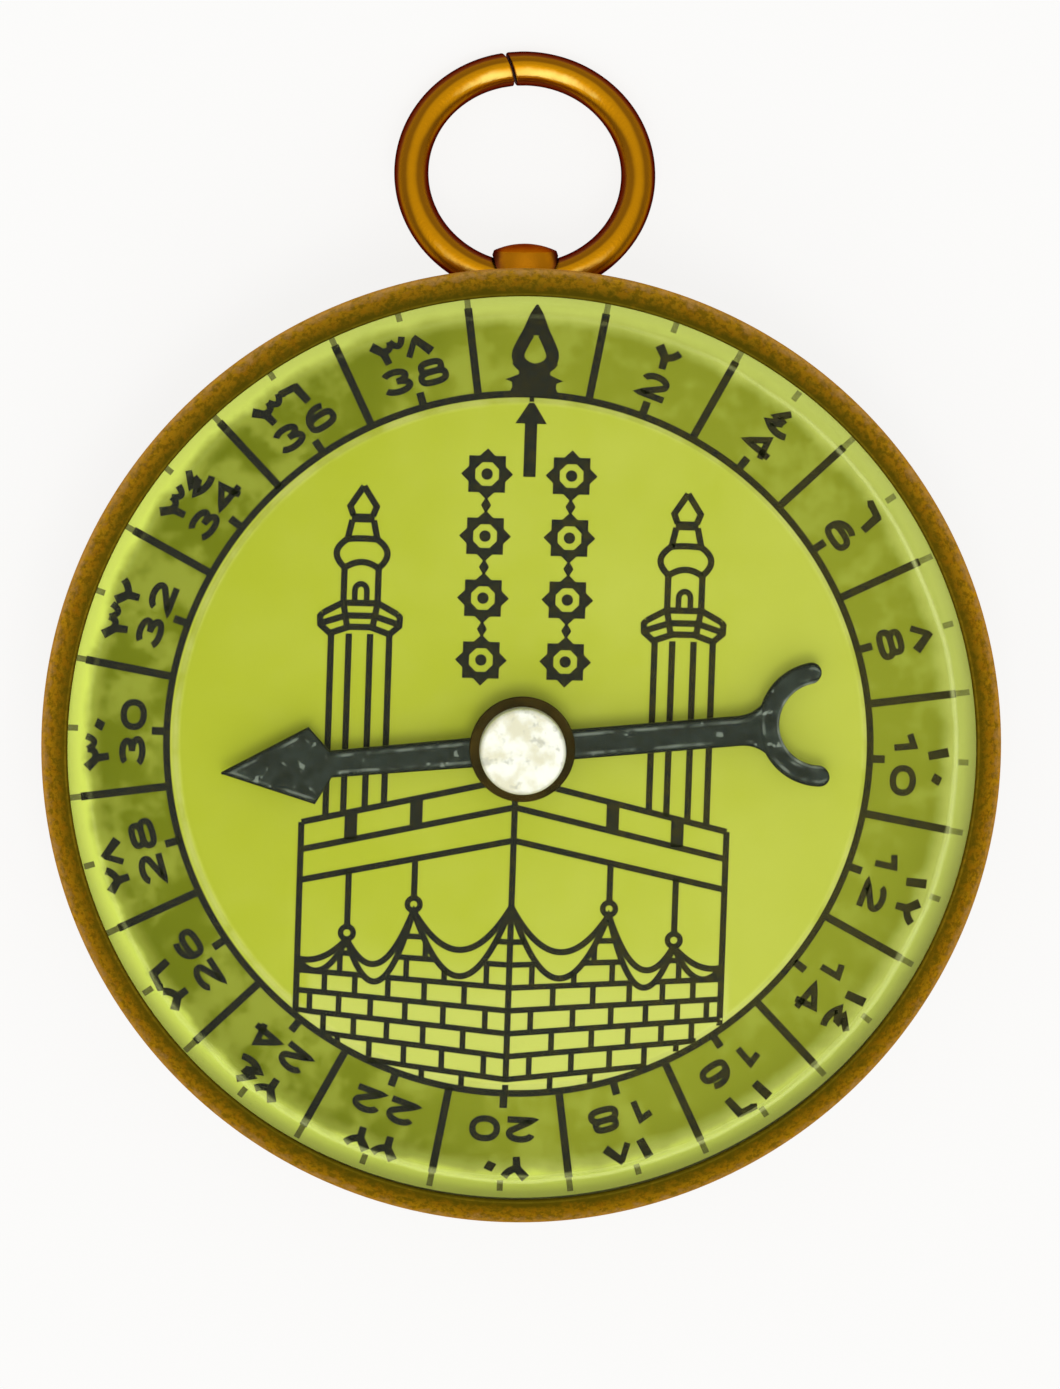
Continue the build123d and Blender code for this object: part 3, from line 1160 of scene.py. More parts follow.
@dataclass(frozen=True)
class Register:
    """How a plate lies on the dial: clockwise turns of its right and up ways in degrees, and its shift."""

    right_turn: float
    up_turn: float
    shift: tuple[float, float]

    def laid(self, strokes: list[Stroke]) -> list[Stroke]:
        """The strokes of a plate at their place on the dial.

        Args:
            strokes: Strokes on the plate.

        Returns:
            The same strokes on the dial.
        """
        first, second = math.radians(self.right_turn), math.radians(self.up_turn)
        right = np.array([math.cos(first), -math.sin(first)])
        up = np.array([math.sin(second), math.cos(second)])
        return [stroke.moved(np.array(self.shift), right, up) for stroke in strokes]


class Script(Enum):
    """The two kinds of figures on the dial."""

    WESTERN = "western"
    EASTERN = "eastern"


@dataclass(frozen=True)
class Row:
    """One ring of numbers: a figure's width and height, the step to the next, the radius and the centre."""

    width: float
    height: float
    advance: float
    radius: float
    centre: tuple[float, float]


@dataclass
class Figures:
    """Two rings of numbers, heads outwards: wide western figures inside, eastern Arabic ones outside."""

    count: int = 20
    step: int = 2
    turn: float = 1.73
    western_row: Row = Row(1.16, 0.94, 1.7, 18.13, (-0.1, -0.15))
    eastern_row: Row = Row(1.0, 1.02, 1.36, 19.73, (-0.1, -0.36))
    western_half: float = 0.155
    eastern_half: float = 0.2

    def western(self, digit: int) -> list[Stroke]:
        """Strokes of a western figure, one wide about its middle and one high.

        Args:
            digit: The figure.

        Returns:
            Its strokes.
        """
        lines = {
            0: [boxed(0, 0.5, 0.5, 0.5, 0.9)],
            1: [line((-0.44, 0.76), (0.04, 0.98), (0.14, 0.0))],
            2: [np.concatenate([arc(0, 0.71, 0.46, 0.29, 172, -32), line((-0.5, 0.02), (0.55, 0.0))])],
            3: [arc(-0.05, 0.76, 0.44, 0.24, 162, -88), arc(-0.03, 0.26, 0.5, 0.26, 88, -162)],
            4: [line((0.34, 0.0), (0.16, 1.0), (-0.55, 0.34), (0.6, 0.3))],
            6: [boxed(0, 0.31, 0.5, 0.31), arc(0.06, 0.4, 0.56, 0.6, 62, 188)],
            8: [boxed(0, 0.77, 0.41, 0.24), boxed(0, 0.27, 0.5, 0.27)],
        }
        return [Stroke(path, self.western_half, np.allclose(path[0], path[-1])) for path in lines[digit]]

    def eastern(self, digit: int) -> list[Stroke]:
        """Strokes of an eastern Arabic figure about its middle, one high.

        Args:
            digit: The figure.

        Returns:
            Its strokes.
        """
        pen = self.eastern_half
        foot = np.concatenate([line((0.1, 0.56)), bent((-0.46, 0.24), (0.6, 0.14), -0.14)])
        tilted = np.array([[0.88, 0.3], [-0.4, 0.92]])
        zero = lozenge(0, 0, 0.28, 0.34)
        glyphs = {
            0: [zero.moved(np.array([-0.15, 0.48]), tilted[1], tilted[0])],
            1: [Stroke(line((-0.1, 0.98), (0.12, 0.06)), taper(pen * 1.1, pen))],
            2: [
                Stroke(line((-0.5, 1.0), (-0.06, 0.54), (-0.02, 0.0)), taper(pen * 1.1, pen * 0.85)),
                Stroke(bent((-0.06, 0.54), (0.54, 0.96), -0.08), taper(pen * 0.85, pen * 0.9)),
            ],
            3: [
                Stroke(line((-0.86, 1.0), (-0.38, 0.56), (-0.26, 0.0)), taper(pen * 1.1, pen * 0.85)),
                Stroke(bent((-0.44, 0.66), (0.03, 1.0), -0.2), pen * 0.8),
                Stroke(bent((0.03, 1.0), (0.64, 1.08), -0.34), taper(pen * 0.7, pen * 0.8)),
            ],
            4: [
                Stroke(line((0.14, 1.14), (-0.3, 0.64), (0.18, 0.54)), taper(pen * 0.8, pen)),
                Stroke(foot, taper(pen * 0.95, pen * 0.8)),
            ],
            6: [
                Stroke(line((-0.66, 0.84), (-0.58, 0.98), (0.2, 0.88)), pen * 0.85),
                Stroke(line((0.1, 0.98), (0.26, 0.0)), taper(pen * 1.05, pen * 0.9)),
            ],
            8: [
                Stroke(line((-0.64, 0.06), (-0.14, 0.84)), taper(pen * 0.75, pen * 0.7)),
                Stroke(line((-0.22, 0.9), (0.46, 0.06)), taper(pen * 0.85, pen * 1.1)),
            ],
        }
        return glyphs[digit]

    def strokes(self, script: Script) -> list[Stroke]:
        """All numbers of one kind, each in its cell with its head outwards.

        Args:
            script: The kind of figures.

        Returns:
            Their strokes on the dial.
        """
        kinds = {
            Script.WESTERN: (self.western, self.western_row),
            Script.EASTERN: (self.eastern, self.eastern_row),
        }
        glyph, row = kinds[script]
        made: list[Stroke] = []
        for cell in range(1, self.count):
            turn = math.radians(360 * cell / self.count + self.turn)
            up = np.array([math.sin(turn), math.cos(turn)])
            right = np.array([math.cos(turn), -math.sin(turn)])
            digits = [int(letter) for letter in str(cell * self.step)]
            foot = np.array(row.centre) + up * (row.radius - row.height / 2)
            for place, digit in enumerate(digits):
                origin = foot + right * (place - (len(digits) - 1) / 2) * row.advance
                made += [stroke.moved(origin, right * row.width, up * row.height) for stroke in glyph(digit)]
        return made


@dataclass
class RingMarks:
    """The dark circle, the lines between the cells, the ticks and the drop that points to the top."""

    cells: int = Figures.count
    circle_radius: float = 16.542
    line_end: float = 20.7
    edge_end: float = 21.35
    tick_end: float = 17.25
    outer_tick: float = 20.7
    outer_tick_end: float = 21.2
    line_half: float = 0.163
    cell_half: float = 0.185
    faint_half: float = 0.14
    drop_half: float = 0.3
    drop_tip: Stops = ((19.3, 0.74), (19.6, 0.6), (20.0, 0.44), (20.3, 0.32), (20.75, 0.05))
    drop_bowl: Stops = ((17.6, 0.72), (17.78, 0.94), (17.98, 1.1))
    drop_foot: Stops = (
        (16.5, 1.2),
        (16.85, 1.02),
        (17.08, 1.05),
        (17.2, 1.36),
        (17.32, 1.05),
        (17.46, 0.74),
        (17.62, 0.74),
    )
    drop_wall: Stops = (
        (0.35, 19.4),
        (0.47, 19.2),
        (0.57, 19.0),
        (0.71, 18.7),
        (0.79, 18.5),
        (0.81, 18.3),
        (0.75, 18.1),
        (0.61, 17.92),
        (0.38, 17.77),
        (0.0, 17.66),
    )
    circle_points: int = 241

    def radial(self, mark: int, start: float, stop: float, half: float) -> Stroke:
        """A line outwards at a mark, of which there are two to a cell.

        Args:
            mark: Number of the mark, clockwise from the top.
            start: Radius of its inner end.
            stop: Radius of its outer end.
            half: Its half width.

        Returns:
            The stroke.
        """
        turn = math.pi * mark / self.cells
        way = np.array([math.sin(turn), math.cos(turn)])
        return Stroke(line(way * start, way * stop), half)

    def strokes(self) -> list[Stroke]:
        """The circle, the lines between the cells and the ticks in their middles.

        Returns:
            Their strokes.
        """
        circle = arc(0, 0, self.circle_radius, self.circle_radius, 0, 360, self.circle_points)
        made = [Stroke(circle, self.line_half, True)]
        for mark in range(1, 2 * self.cells):
            stop = self.line_end if mark % 2 else self.tick_end
            made.append(self.radial(mark, self.circle_radius, stop, self.cell_half))
        return made

    def edge_strokes(self) -> list[Stroke]:
        """The fainter ends of the lines, and the outer ticks, under the cap's skirt.

        Returns:
            Their strokes.
        """
        marks = range(1, 2 * self.cells)
        starts, stops = (self.outer_tick, self.line_end), (self.outer_tick_end, self.edge_end)
        return [self.radial(mark, starts[mark % 2], stops[mark % 2], self.faint_half) for mark in marks]

    def pointer(self) -> list[Stroke]:
        """The drop, whose wall runs round its hole from the tip and back, on a stepped foot.

        Returns:
            Its strokes.
        """
        wall = line(*self.drop_wall)
        around = np.concatenate([wall, wall[-2::-1] * (-1, 1)])
        solid = [spindle(0, *stops) for stops in (self.drop_tip, self.drop_foot, self.drop_bowl)]
        return solid + [Stroke(around, self.drop_half)]


@dataclass
class StarColumns:
    """Two plain columns of eight-pointed stars and lozenges, with a short arrow between them."""

    middle: float = 0.07
    column: float = 1.98
    first: float = 3.95
    pitch: float = 2.92
    stars: int = 4
    star_radius: float = 1.0
    line_half: float = 0.155
    dot_radius: float = 0.27
    lozenge_half: float = 0.24
    lozenge_reach: float = 0.4
    arrow_shaft: Stops = ((12.62, 0.29), (15.2, 0.29))
    arrow_head: Stops = ((15.12, 0.74), (16.1, 0.12))
    arrow_neck: Stops = ((16.0, 0.12), (16.5, 0.1))

    def strokes(self) -> list[Stroke]:
        """Each star as two squares an eighth of a turn apart round a dot, with lozenges between.

        Returns:
            Their strokes.
        """
        made: list[Stroke] = []
        for side in (-1, 1):
            x = self.middle + side * self.column
            for at in range(self.stars):
                y = self.first + at * self.pitch
                for start in (0, 45):
                    square = arc(x, y, self.star_radius, self.star_radius, start, start + 360, 5)
                    made.append(Stroke(square, self.line_half, True))
                made.append(dot(x, y, self.dot_radius))
                if at:
                    made.append(lozenge(x, y - self.pitch / 2, self.lozenge_half, self.lozenge_reach))
        return made

    def arrow(self) -> list[Stroke]:
        """The short arrow under the circle: shaft, head and thin neck."""
        parts = (self.arrow_shaft, self.arrow_head, self.arrow_neck)
        return [spindle(self.middle, *stops) for stops in parts]


@dataclass
class Minarets:
    """Two towers behind the cube: spire, drum, bulb, neck with a door, gallery and ribbed shaft."""

    columns: tuple[float, float] = (-7.64, 7.55)
    ribs: tuple[float, ...] = (-1.33, -0.5, 0.5, 1.4)
    rib_top: float = 5.05
    half: float = 0.152
    ring_half: float = 0.21
    door_share: float = 0.9
    tiers: tuple[tuple[float, float, float, float], ...] = (
        (6.5, 6.0, 0.83, 1.75),
        (5.9, 5.55, 0.65, 1.72),
        (5.37, 5.05, 0.5, 1.4),
    )

    def strokes(self, roof: Callable[[float], float]) -> list[Stroke]:
        """The towers' lines.

        Args:
            roof: Level of the cube's top edge at a place across the dial.

        Returns:
            Their strokes.
        """
        made: list[Stroke] = []
        for column in self.columns:
            shift = np.array([column, 0.0])
            made += [Stroke(stroke.path + shift, stroke.half, stroke.closed) for stroke in self.tower()]
            for rib in self.ribs:
                x = column + rib
                made.append(Stroke(line((x, self.rib_top), (x, roof(x))), self.half))
        return made

    def tower(self) -> list[Stroke]:
        """One tower above its shaft, about its own axis.

        Returns:
            Its strokes.
        """
        h = self.half
        door = np.concatenate([line((-0.28, 6.55)), arc(0, 7.08, 0.28, 0.32, 180, 0), line((0.28, 6.55))])
        made = [
            Stroke(line((-0.54, 10.5), (0.54, 10.5)), self.ring_half),
            Stroke(bent((-0.7, 9.5), (0.7, 9.5), 0.04), h),
            Stroke(bent((-0.78, 8.15), (0.78, 8.15), 0.28), h),
            Stroke(door, h * self.door_share),
        ]
        for mid, end, near, far in self.tiers:
            made.append(Stroke(line((-far, end), (-near, mid), (near, mid), (far, end)), h))
        for way in (-1, 1):
            mirror = np.array([way, 1.0])
            paths = [
                line((0, 12.0), (0.62, 11.05), (0.45, 10.6)),
                line((0.5, 10.4), (0.7, 9.5)),
                line((0.8, 8.15), (0.8, 6.5), (0.6, 5.37)),
                line((1.75, 6.0), (1.87, 5.85), (1.85, 5.45), (1.4, 5.05)),
            ]
            made += [Stroke(path * mirror, h) for path in paths]
            made.append(Stroke(bent((way * 0.7, 9.5), (way * 0.78, 8.15), way * 0.45), h))
        return made


@dataclass
class CubeHouse:
    """The draped cube seen from its corner: two faces whose levels close up towards the far edges.

    A line on a face is a pair of levels, at the near edge in the middle and at the far edge.
    """

    middle: float = -0.08
    half_width: float = 10.0
    parapet: tuple[tuple[float, float], ...] = ((-1.6, -3.9), (-2.98, -5.2), (-4.55, -6.65))
    posts: tuple[float, float] = (4.62, 7.68)
    post_half: float = 0.3
    rings: tuple[tuple[float, float], ...] = ((4.6, -7.68), (7.7, -9.1))
    ring_radius: float = 0.3
    peak: float = -7.7
    corner: float = -10.35
    swags: tuple[float, float, float] = (1.95, 1.8, 0.4)
    hem_swags: tuple[float, float, float] = (3.2, 2.65, 1.0)
    top_course: tuple[float, float] = (-9.37, -9.0)
    course: tuple[float, float] = (-1.09, -0.95)
    courses: int = 7
    bricks: int = 6
    crowding: float = 1.32
    reach: float = 16.5
    half: float = 0.148
    brick_share: float = 0.92
    ring_share: float = 0.9
    graze: float = 0.35
    run_points: int = 121
    joint_points: int = 12
    ring_points: int = 17

    def level(self, pair: tuple[float, float], x: Array | float) -> Array | float:
        """Level of a line on a face at a distance from the middle."""
        return pair[0] + (pair[1] - pair[0]) * x / self.half_width

    def roof(self, x: float) -> float:
        """Level of the parapet's top line at a place across the dial."""
        return self.level(self.parapet[0], abs(x - self.middle))

    def across(self, share: float) -> float:
        """Distance from the middle of a share of a face, which crowds towards the far edge."""
        return self.half_width * self.crowding * share / (1 + (self.crowding - 1) * share)

    def cloth(self, x: Array, swags: tuple[float, float, float]) -> Array:
        """An edge of the drape: parabolas that hang between the peak, the rings and the corner.

        Args:
            x: Distances from the middle.
            swags: How far each of the three parabolas hangs.

        Returns:
            Levels of the edge.
        """
        holds = [0.0, *(ring[0] for ring in self.rings), self.half_width]
        heights = [self.peak, *(ring[1] - self.ring_radius for ring in self.rings), self.corner]
        at = np.clip(np.searchsorted(holds, x, side="right") - 1, 0, 2)
        start, stop = np.take(holds, at), np.take(holds, at + 1)
        share = (x - start) / (stop - start)
        chord = np.take(heights, at) * (1 - share) + np.take(heights, at + 1) * share
        return chord - np.take(swags, at) * 4 * share * (1 - share)

    def clipped(self, path: Array) -> list[Stroke]:
        """The parts of a line under the drape and inside the circle, without those that only graze it.

        Args:
            path: Points of the line.

        Returns:
            A stroke for each part.
        """
        radius = np.hypot(*path.T)
        shown = (path[:, 1] < self.cloth(path[:, 0], self.hem_swags)) & (radius < self.reach)
        cuts = np.flatnonzero(np.diff(shown.astype(int))) + 1
        runs = [run for run in np.split(np.arange(len(path)), cuts) if shown[run[0]] and len(run) > 2]
        kept = [run for run in runs if radius[run].min() < self.reach - self.graze]
        return [Stroke(path[run], self.half * self.brick_share) for run in kept]

    def edge_foot(self, x: float) -> float:
        """Level at which a vertical line meets the circle."""
        return -math.sqrt(self.reach**2 - x**2)

    def face(self) -> list[Stroke]:
        """Edge, parapet, posts, cords, rings, drape and brickwork of the right face.

        Returns:
            Its strokes.
        """
        far, run = self.half_width, np.linspace(0, self.half_width, self.run_points)
        made = [Stroke(line((far, self.parapet[0][1]), (far, self.edge_foot(far))), self.half)]
        made += [Stroke(line((0, near), (far, end)), self.half) for near, end in self.parapet]
        for swags in (self.swags, self.hem_swags):
            made.append(Stroke(np.stack([run, self.cloth(run, swags)], axis=-1), self.half))
        for post, (x, y) in zip(self.posts, self.rings):
            ends = [(self.level(pair, post), self.post_half) for pair in self.parapet[:2]]
            cord = line((x, self.level(self.parapet[2], x)), (x, y + self.ring_radius))
            ring = arc(x, y, self.ring_radius, self.ring_radius, 0, 360, self.ring_points)
            made.append(spindle(post, *ends))
            made.append(Stroke(cord, self.half))
            made.append(Stroke(ring, self.half * self.ring_share, True))
        return made + self.brickwork(run)

    def brickwork(self, run: Array) -> list[Stroke]:
        """Courses of a face and the joints between them, set over by half a brick in every other course.

        Args:
            run: Distances from the middle of a course's points.

        Returns:
            Their strokes.
        """
        made: list[Stroke] = []
        top, course = np.array(self.top_course), np.array(self.course)
        for row in range(self.courses):
            bed, next_bed = top + row * course, top + (row + 1) * course
            made += self.clipped(np.stack([run, self.level(bed, run)], axis=-1))
            for brick in range(self.bricks):
                x = self.across((brick + 0.5 + 0.5 * ((row + 1) % 2)) / self.bricks)
                if x < self.half_width:
                    joint = np.linspace(self.level(bed, x), self.level(next_bed, x), self.joint_points)
                    made += self.clipped(np.stack([np.full(len(joint), x), joint], axis=-1))
        return made

    def strokes(self) -> list[Stroke]:
        """Both faces and the corner between them.

        Returns:
            Their strokes.
        """
        made = [Stroke(line((0, self.parapet[0][0]), (0, self.edge_foot(0.0))), self.half)]
        for side in (-1, 1):
            made += [Stroke(stroke.path * (side, 1), stroke.half, stroke.closed) for stroke in self.face()]
        return [Stroke(stroke.path + (self.middle, 0), stroke.half, stroke.closed) for stroke in made]


@dataclass
class Dial:
    """The stamped sheet with its raised centre, and everything printed on it."""

    sheet: float = 0.25
    rise: float = 0.2
    step_radius: float = 16.1
    step_slope: float = 0.3
    hole_radius: float = 1.25
    step_round: float = 0.25
    ink: float = 0.012
    ink_sunk: float = 0.006
    ink_step: float = 0.2
    ink_spread: float = 0.06
    ink_coats: int = 7
    ring_plate: Register = Register(1.73, 1.73, (-0.11, -0.03))
    centre_plate: Register = Register(0.84, 1.24, (-0.118, 0.017))
    segments: int = 192

    def level(self, radius: Array) -> Array:
        """Height of the painted face at a distance from the axis.

        Args:
            radius: Distances from the axis.

        Returns:
            The heights.
        """
        top = node_box("dial")[1][2]
        slope = [self.step_radius, self.step_radius + self.step_slope]
        return np.interp(radius, slope, [top, top - self.rise])

    def profile(self) -> Array:
        """Closed section of the sheet.

        Returns:
            Points (r, z).
        """
        low, high = node_box("dial")
        outer, bottom, top = high[0], low[2], high[2]
        foot = self.step_radius + self.step_slope
        return rounded(
            [
                (self.hole_radius, top - self.sheet, 0.0),
                (self.step_radius, top - self.sheet, self.step_round),
                (foot, bottom, self.step_round),
                (outer, bottom, 0.0),
                (outer, bottom + self.sheet, 0.0),
                (foot, bottom + self.sheet, self.step_round),
                (self.step_radius, top, self.step_round),
                (self.hole_radius, top, 0.0),
            ]
        )

    def inked(self, stroke: Stroke, lift: float) -> Array:
        """Carries an inked bar along a stroke.

        At each station the points stand up to half a width along the mitred normal, two below and five on
        top, and follow the dial's level there.

        Args:
            stroke: The line.
            lift: Thickness of the ink.

        Returns:
            Grid of points, seven to a station.
        """
        path = subdivided(stroke.path, self.ink_step)
        way = np.concatenate([[0.0], np.cumsum(np.linalg.norm(np.diff(path, axis=0), axis=1))])
        if stroke.closed:
            path, way = path[:-1], way[:-1]
        half = stroke.half(way / way[-1]) if callable(stroke.half) else np.full(len(path), stroke.half)
        ahead, back = np.roll(path, -1, axis=0) - path, path - np.roll(path, 1, axis=0)
        if not stroke.closed:
            ahead[-1], back[0] = back[-1], ahead[0]
        ahead /= np.linalg.norm(ahead, axis=1, keepdims=True)
        back /= np.linalg.norm(back, axis=1, keepdims=True)
        along = ahead + back
        along /= np.maximum(np.linalg.norm(along, axis=1, keepdims=True), 1e-6)
        reach = half / np.clip((along * ahead).sum(axis=1), 0.5, 1.0)
        normal = np.stack([-along[:, 1], along[:, 0]], axis=-1) * reach[:, None]
        across = np.array([1.0, -1.0, -1.0, -0.5, 0.0, 0.5, 1.0])
        edges = path[:, None] + normal[:, None] * across[:, None]
        depth = np.where(np.arange(len(across)) < 2, -self.ink_sunk, lift)
        height = self.level(np.linalg.norm(edges, axis=-1)) + depth
        return np.concatenate([edges, height[..., None]], axis=-1)

    def print_strokes(self, name: str, strokes: list[Stroke], ink: bpy.types.Material) -> None:
        """Prints strokes as one piece; neighbours differ a hair in thickness, so that none coincide.

        Args:
            name: The piece's name.
            strokes: What is printed.
            ink: Its finish.
        """
        shell = Shell()
        for at, stroke in enumerate(strokes):
            lift = self.ink * (1 + self.ink_spread * (at % self.ink_coats))
            shell.add(self.inked(stroke, lift), wrap_rows=stroke.closed)
        finished(name, shell.mesh(name), ink, "case")

    def build(self, paint: DialPaint, ink: PrintInk, faint_ink: PrintInk) -> None:
        """Builds the sheet and its print.

        Args:
            paint: Finish of the sheet.
            ink: Finish of the print.
            faint_ink: Finish of the marks under the cap's skirt.
        """
        spun("dial_sheet", self.profile(), self.segments, paint.material(), "case", "dial")
        black, faint = ink.material(), faint_ink.material()
        ring, centre = self.ring_plate.laid, self.centre_plate.laid
        marks, figures, stars, cube = RingMarks(), Figures(), StarColumns(), CubeHouse()
        plates = {
            "print_edge_marks": (ring(marks.edge_strokes()), faint),
            "print_ring_marks": (ring(marks.strokes()), black),
            "print_pointer": (ring(marks.pointer()), black),
            "print_western_figures": (figures.strokes(Script.WESTERN), black),
            "print_eastern_figures": (figures.strokes(Script.EASTERN), black),
            "print_star_columns": (centre(stars.strokes()), black),
            "print_arrow": (centre(stars.arrow()), black),
            "print_minarets": (centre(Minarets().strokes(cube.roof)), black),
            "print_cube": (centre(cube.strokes()), black),
        }
        for name, (strokes, finish) in plates.items():
            self.print_strokes(name, strokes, finish)


@dataclass
class Needle:
    """The steel needle with its riveted hub and bright cap, over the stone inside."""

    heading: float = 185.2
    head_tip: float = 14.13
    head_barb: float = 9.88
    head_rear: float = 9.0
    head_half: float = 1.82
    shaft_front: float = 0.63
    shaft_hub: float = 0.7
    shaft_tail: float = 0.7
    tail_flare: float = 1.4
    flare_run: float = 1.5
    eye_radius: float = 2.2
    barrel_radius: float = 1.3
    arm_start: float = 1.7
    crescent_centre: float = 14.05
    crescent_radius: float = 2.45
    crescent_half: float = 0.49
    crescent_angle: float = 83.5
    arm_sunk: float = 0.004
    edge_round: float = 0.11
    collar_radius: float = 2.48
    collar_thickness: float = 0.25
    rivet_radius: float = 1.9
    rivet_thickness: float = 0.3
    boss_radius: float = 1.45
    hub_bore: float = 0.9
    bore_flare: float = 0.15
    cap_roof: float = 0.4
    cap_round: float = 0.22
    hub_edge: float = 0.06
    tip_half: float = 0.03
    flare_power: float = 2.5
    flare_points: int = 7
    bend_share: float = 0.7
    bend_points: int = 5
    station: float = 0.25
    crescent_points: int = 61
    horn_points: int = 11
    eye_mark: float = 0.5
    hollow_sheen_shift: float = 0.05
    segments: int = 96
    across: tuple[float, ...] = (0.9, 0.8, 0.66, 0.5, 0.3, 0.0)

    def section(self, half: Array, sunk: float = 0.0) -> tuple[Array, Array]:
        """Section of the sheet at each station: square below, rounded along its upper edges.

        Args:
            half: Half width at each station.
            sunk: How far its top lies under the sheet's.

        Returns:
            Offsets (across, up) and the distance from the nearer edge, by station and column.
        """
        low, high = node_box("needle")[0][2], node_box("needle")[1][2] - sunk
        width = half[:, None]
        bend = np.minimum(self.edge_round, self.bend_share * width)
        quarter = np.radians(np.linspace(0, 90, self.bend_points))
        corner = width - bend + bend * np.cos(quarter)
        rising = high - bend + bend * np.sin(quarter)
        inner = (width - bend) * np.array(self.across)
        right = np.concatenate([width, corner, inner], axis=1)
        up = np.concatenate([np.full_like(width, low), rising, np.full_like(inner, high)], axis=1)
        sides = np.concatenate([right, -right[:, -2::-1]], axis=1)
        levels = np.concatenate([up, up[:, -2::-1]], axis=1)
        return np.stack([sides, levels], axis=-1), width - np.abs(sides)

    def turned(self, along: Array, section: Array) -> Array:
        """Places sections along the needle's own axis and turns them to its heading.

        Args:
            along: Places along the axis.
            section: Offsets (across, up) at each place.

        Returns:
            Grid of points.
        """
        turn = math.radians(self.heading)
        u, v = along + 0 * section[..., 0], section[..., 0]
        x = u * math.cos(turn) - v * math.sin(turn)
        y = u * math.sin(turn) + v * math.cos(turn)
        return np.stack([x, y, section[..., 1]], axis=-1)

    def arm(self, stops: Sequence[tuple[float, float]], shell: Shell) -> None:
        """Adds a straight arm whose half width follows the stops (along, half width).

        Args:
            stops: The stops.
            shell: What it is added to.
        """
        places, halves = np.array(sorted(stops)).T
        along = np.union1d(places, np.arange(places[0], places[-1], self.station))
        section, rim = self.section(np.interp(along, places, halves), self.arm_sunk)
        shell.add(self.turned(along[:, None], section), wrap_rows=False, mark=rim)

    def crescent(self, shell: Shell) -> None:
        """Adds the crescent: the section carried round an arc, with round ends.

        Args:
            shell: What it is added to.
        """
        turn = np.radians(np.linspace(-self.crescent_angle, self.crescent_angle, self.crescent_points))
        quarter = np.radians(np.linspace(0, 90, self.horn_points)[1:])
        swell = np.sin(quarter) * self.crescent_half
        lead = np.cos(quarter) * self.crescent_half / self.crescent_radius
        turns = np.concatenate([turn[0] - lead, turn[1:-1], (turn[-1] + lead)[::-1]])
        half = np.concatenate([swell, np.full(len(turn) - 2, self.crescent_half), swell[::-1]])
        section, rim = self.section(half)
        radius = self.crescent_radius + section[..., 0]
        along = -self.crescent_centre + radius * np.cos(turns)[:, None]
        aside = np.stack([radius * np.sin(turns)[:, None], section[..., 1]], axis=-1)
        shell.add(self.turned(along, aside), wrap_rows=False, mark=rim)

    def crescent_place(self) -> tuple[float, float]:
        """Centre of the crescent's arc on the dial."""
        turn = math.radians(self.heading)
        return -self.crescent_centre * math.cos(turn), -self.crescent_centre * math.sin(turn)

    def build_needle(self, steel: BluedSteel) -> None:
        """Builds the sheet needle.

        Args:
            steel: Its finish.
        """
        shell = Shell()
        front = [
            (self.arm_start, self.shaft_hub),
            (self.head_rear, self.shaft_front),
            (self.head_barb, self.head_half),
            (self.head_tip, self.tip_half),
        ]
        tail_end = self.crescent_centre - self.crescent_radius
        flare = np.linspace(0, 1, self.flare_points)
        spread = self.shaft_tail + (self.tail_flare - self.shaft_tail) * flare**self.flare_power
        tail = [(-self.arm_start, self.shaft_tail), *zip(-tail_end + self.flare_run * (1 - flare), spread)]
        self.arm(front, shell)
        self.arm(tail, shell)
        self.crescent(shell)
        low, high = node_box("needle")[0][2], node_box("needle")[1][2]
        inner, outer = self.barrel_radius, self.eye_radius
        eye = revolved(line((inner, low), (outer, low), (outer, high), (inner, high)), self.segments)
        shell.add(eye, wrap_rows=True, mark=np.full(eye.shape[:2], self.eye_mark))
        mesh = shell.mesh("blued_needle", steel.rim_mark)
        finished("blued_needle", mesh, steel.material(), "needle", ["needle"])

    def build_hub(self, brass: TonedBrass, bright: BrightCap) -> None:
        """Builds the riveted hub and the cap pressed over it.

        Args:
            brass: Finish of the hub.
            bright: Finish of the cap.
        """
        low, high = node_box("needle_hub")
        bottom, boss = low[2], high[2]
        foot, cap_top = node_box("needle_cap")[0][2], node_box("needle_cap")[1][2]
        cap_radius = node_box("needle_cap")[1][0]
        under = bottom + self.rivet_thickness
        top = foot - self.collar_thickness
        hub_profile = rounded(
            [
                (self.hub_bore + self.bore_flare, bottom, 0.0),
                (self.rivet_radius, bottom, self.hub_edge),
                (self.rivet_radius, under, 0.0),
                (self.barrel_radius, under, 0.0),
                (self.barrel_radius, top, 0.0),
                (self.collar_radius, top, 0.0),
                (self.collar_radius, foot, self.hub_edge),
                (self.boss_radius, foot, 0.0),
                (self.boss_radius, boss, 0.0),
                (self.hub_bore, boss, 0.0),
                (self.hub_bore, bottom + self.bore_flare, 0.0),
            ]
        )
        cap_profile = rounded(
            [
                (0.0, cap_top - self.cap_roof, 0.0),
                (self.boss_radius, cap_top - self.cap_roof, 0.0),
                (self.boss_radius, foot, 0.0),
                (cap_radius, foot, self.hub_edge),
                (cap_radius, cap_top, self.cap_round),
                (0.0, cap_top, 0.0),
            ]
        )
        finish, shine = brass.material(), bright.material()
        spun("riveted_hub", hub_profile, self.segments, finish, "needle", "needle_hub")
        spun("bright_cap", cap_profile, self.segments, shine, "needle", "needle_cap")


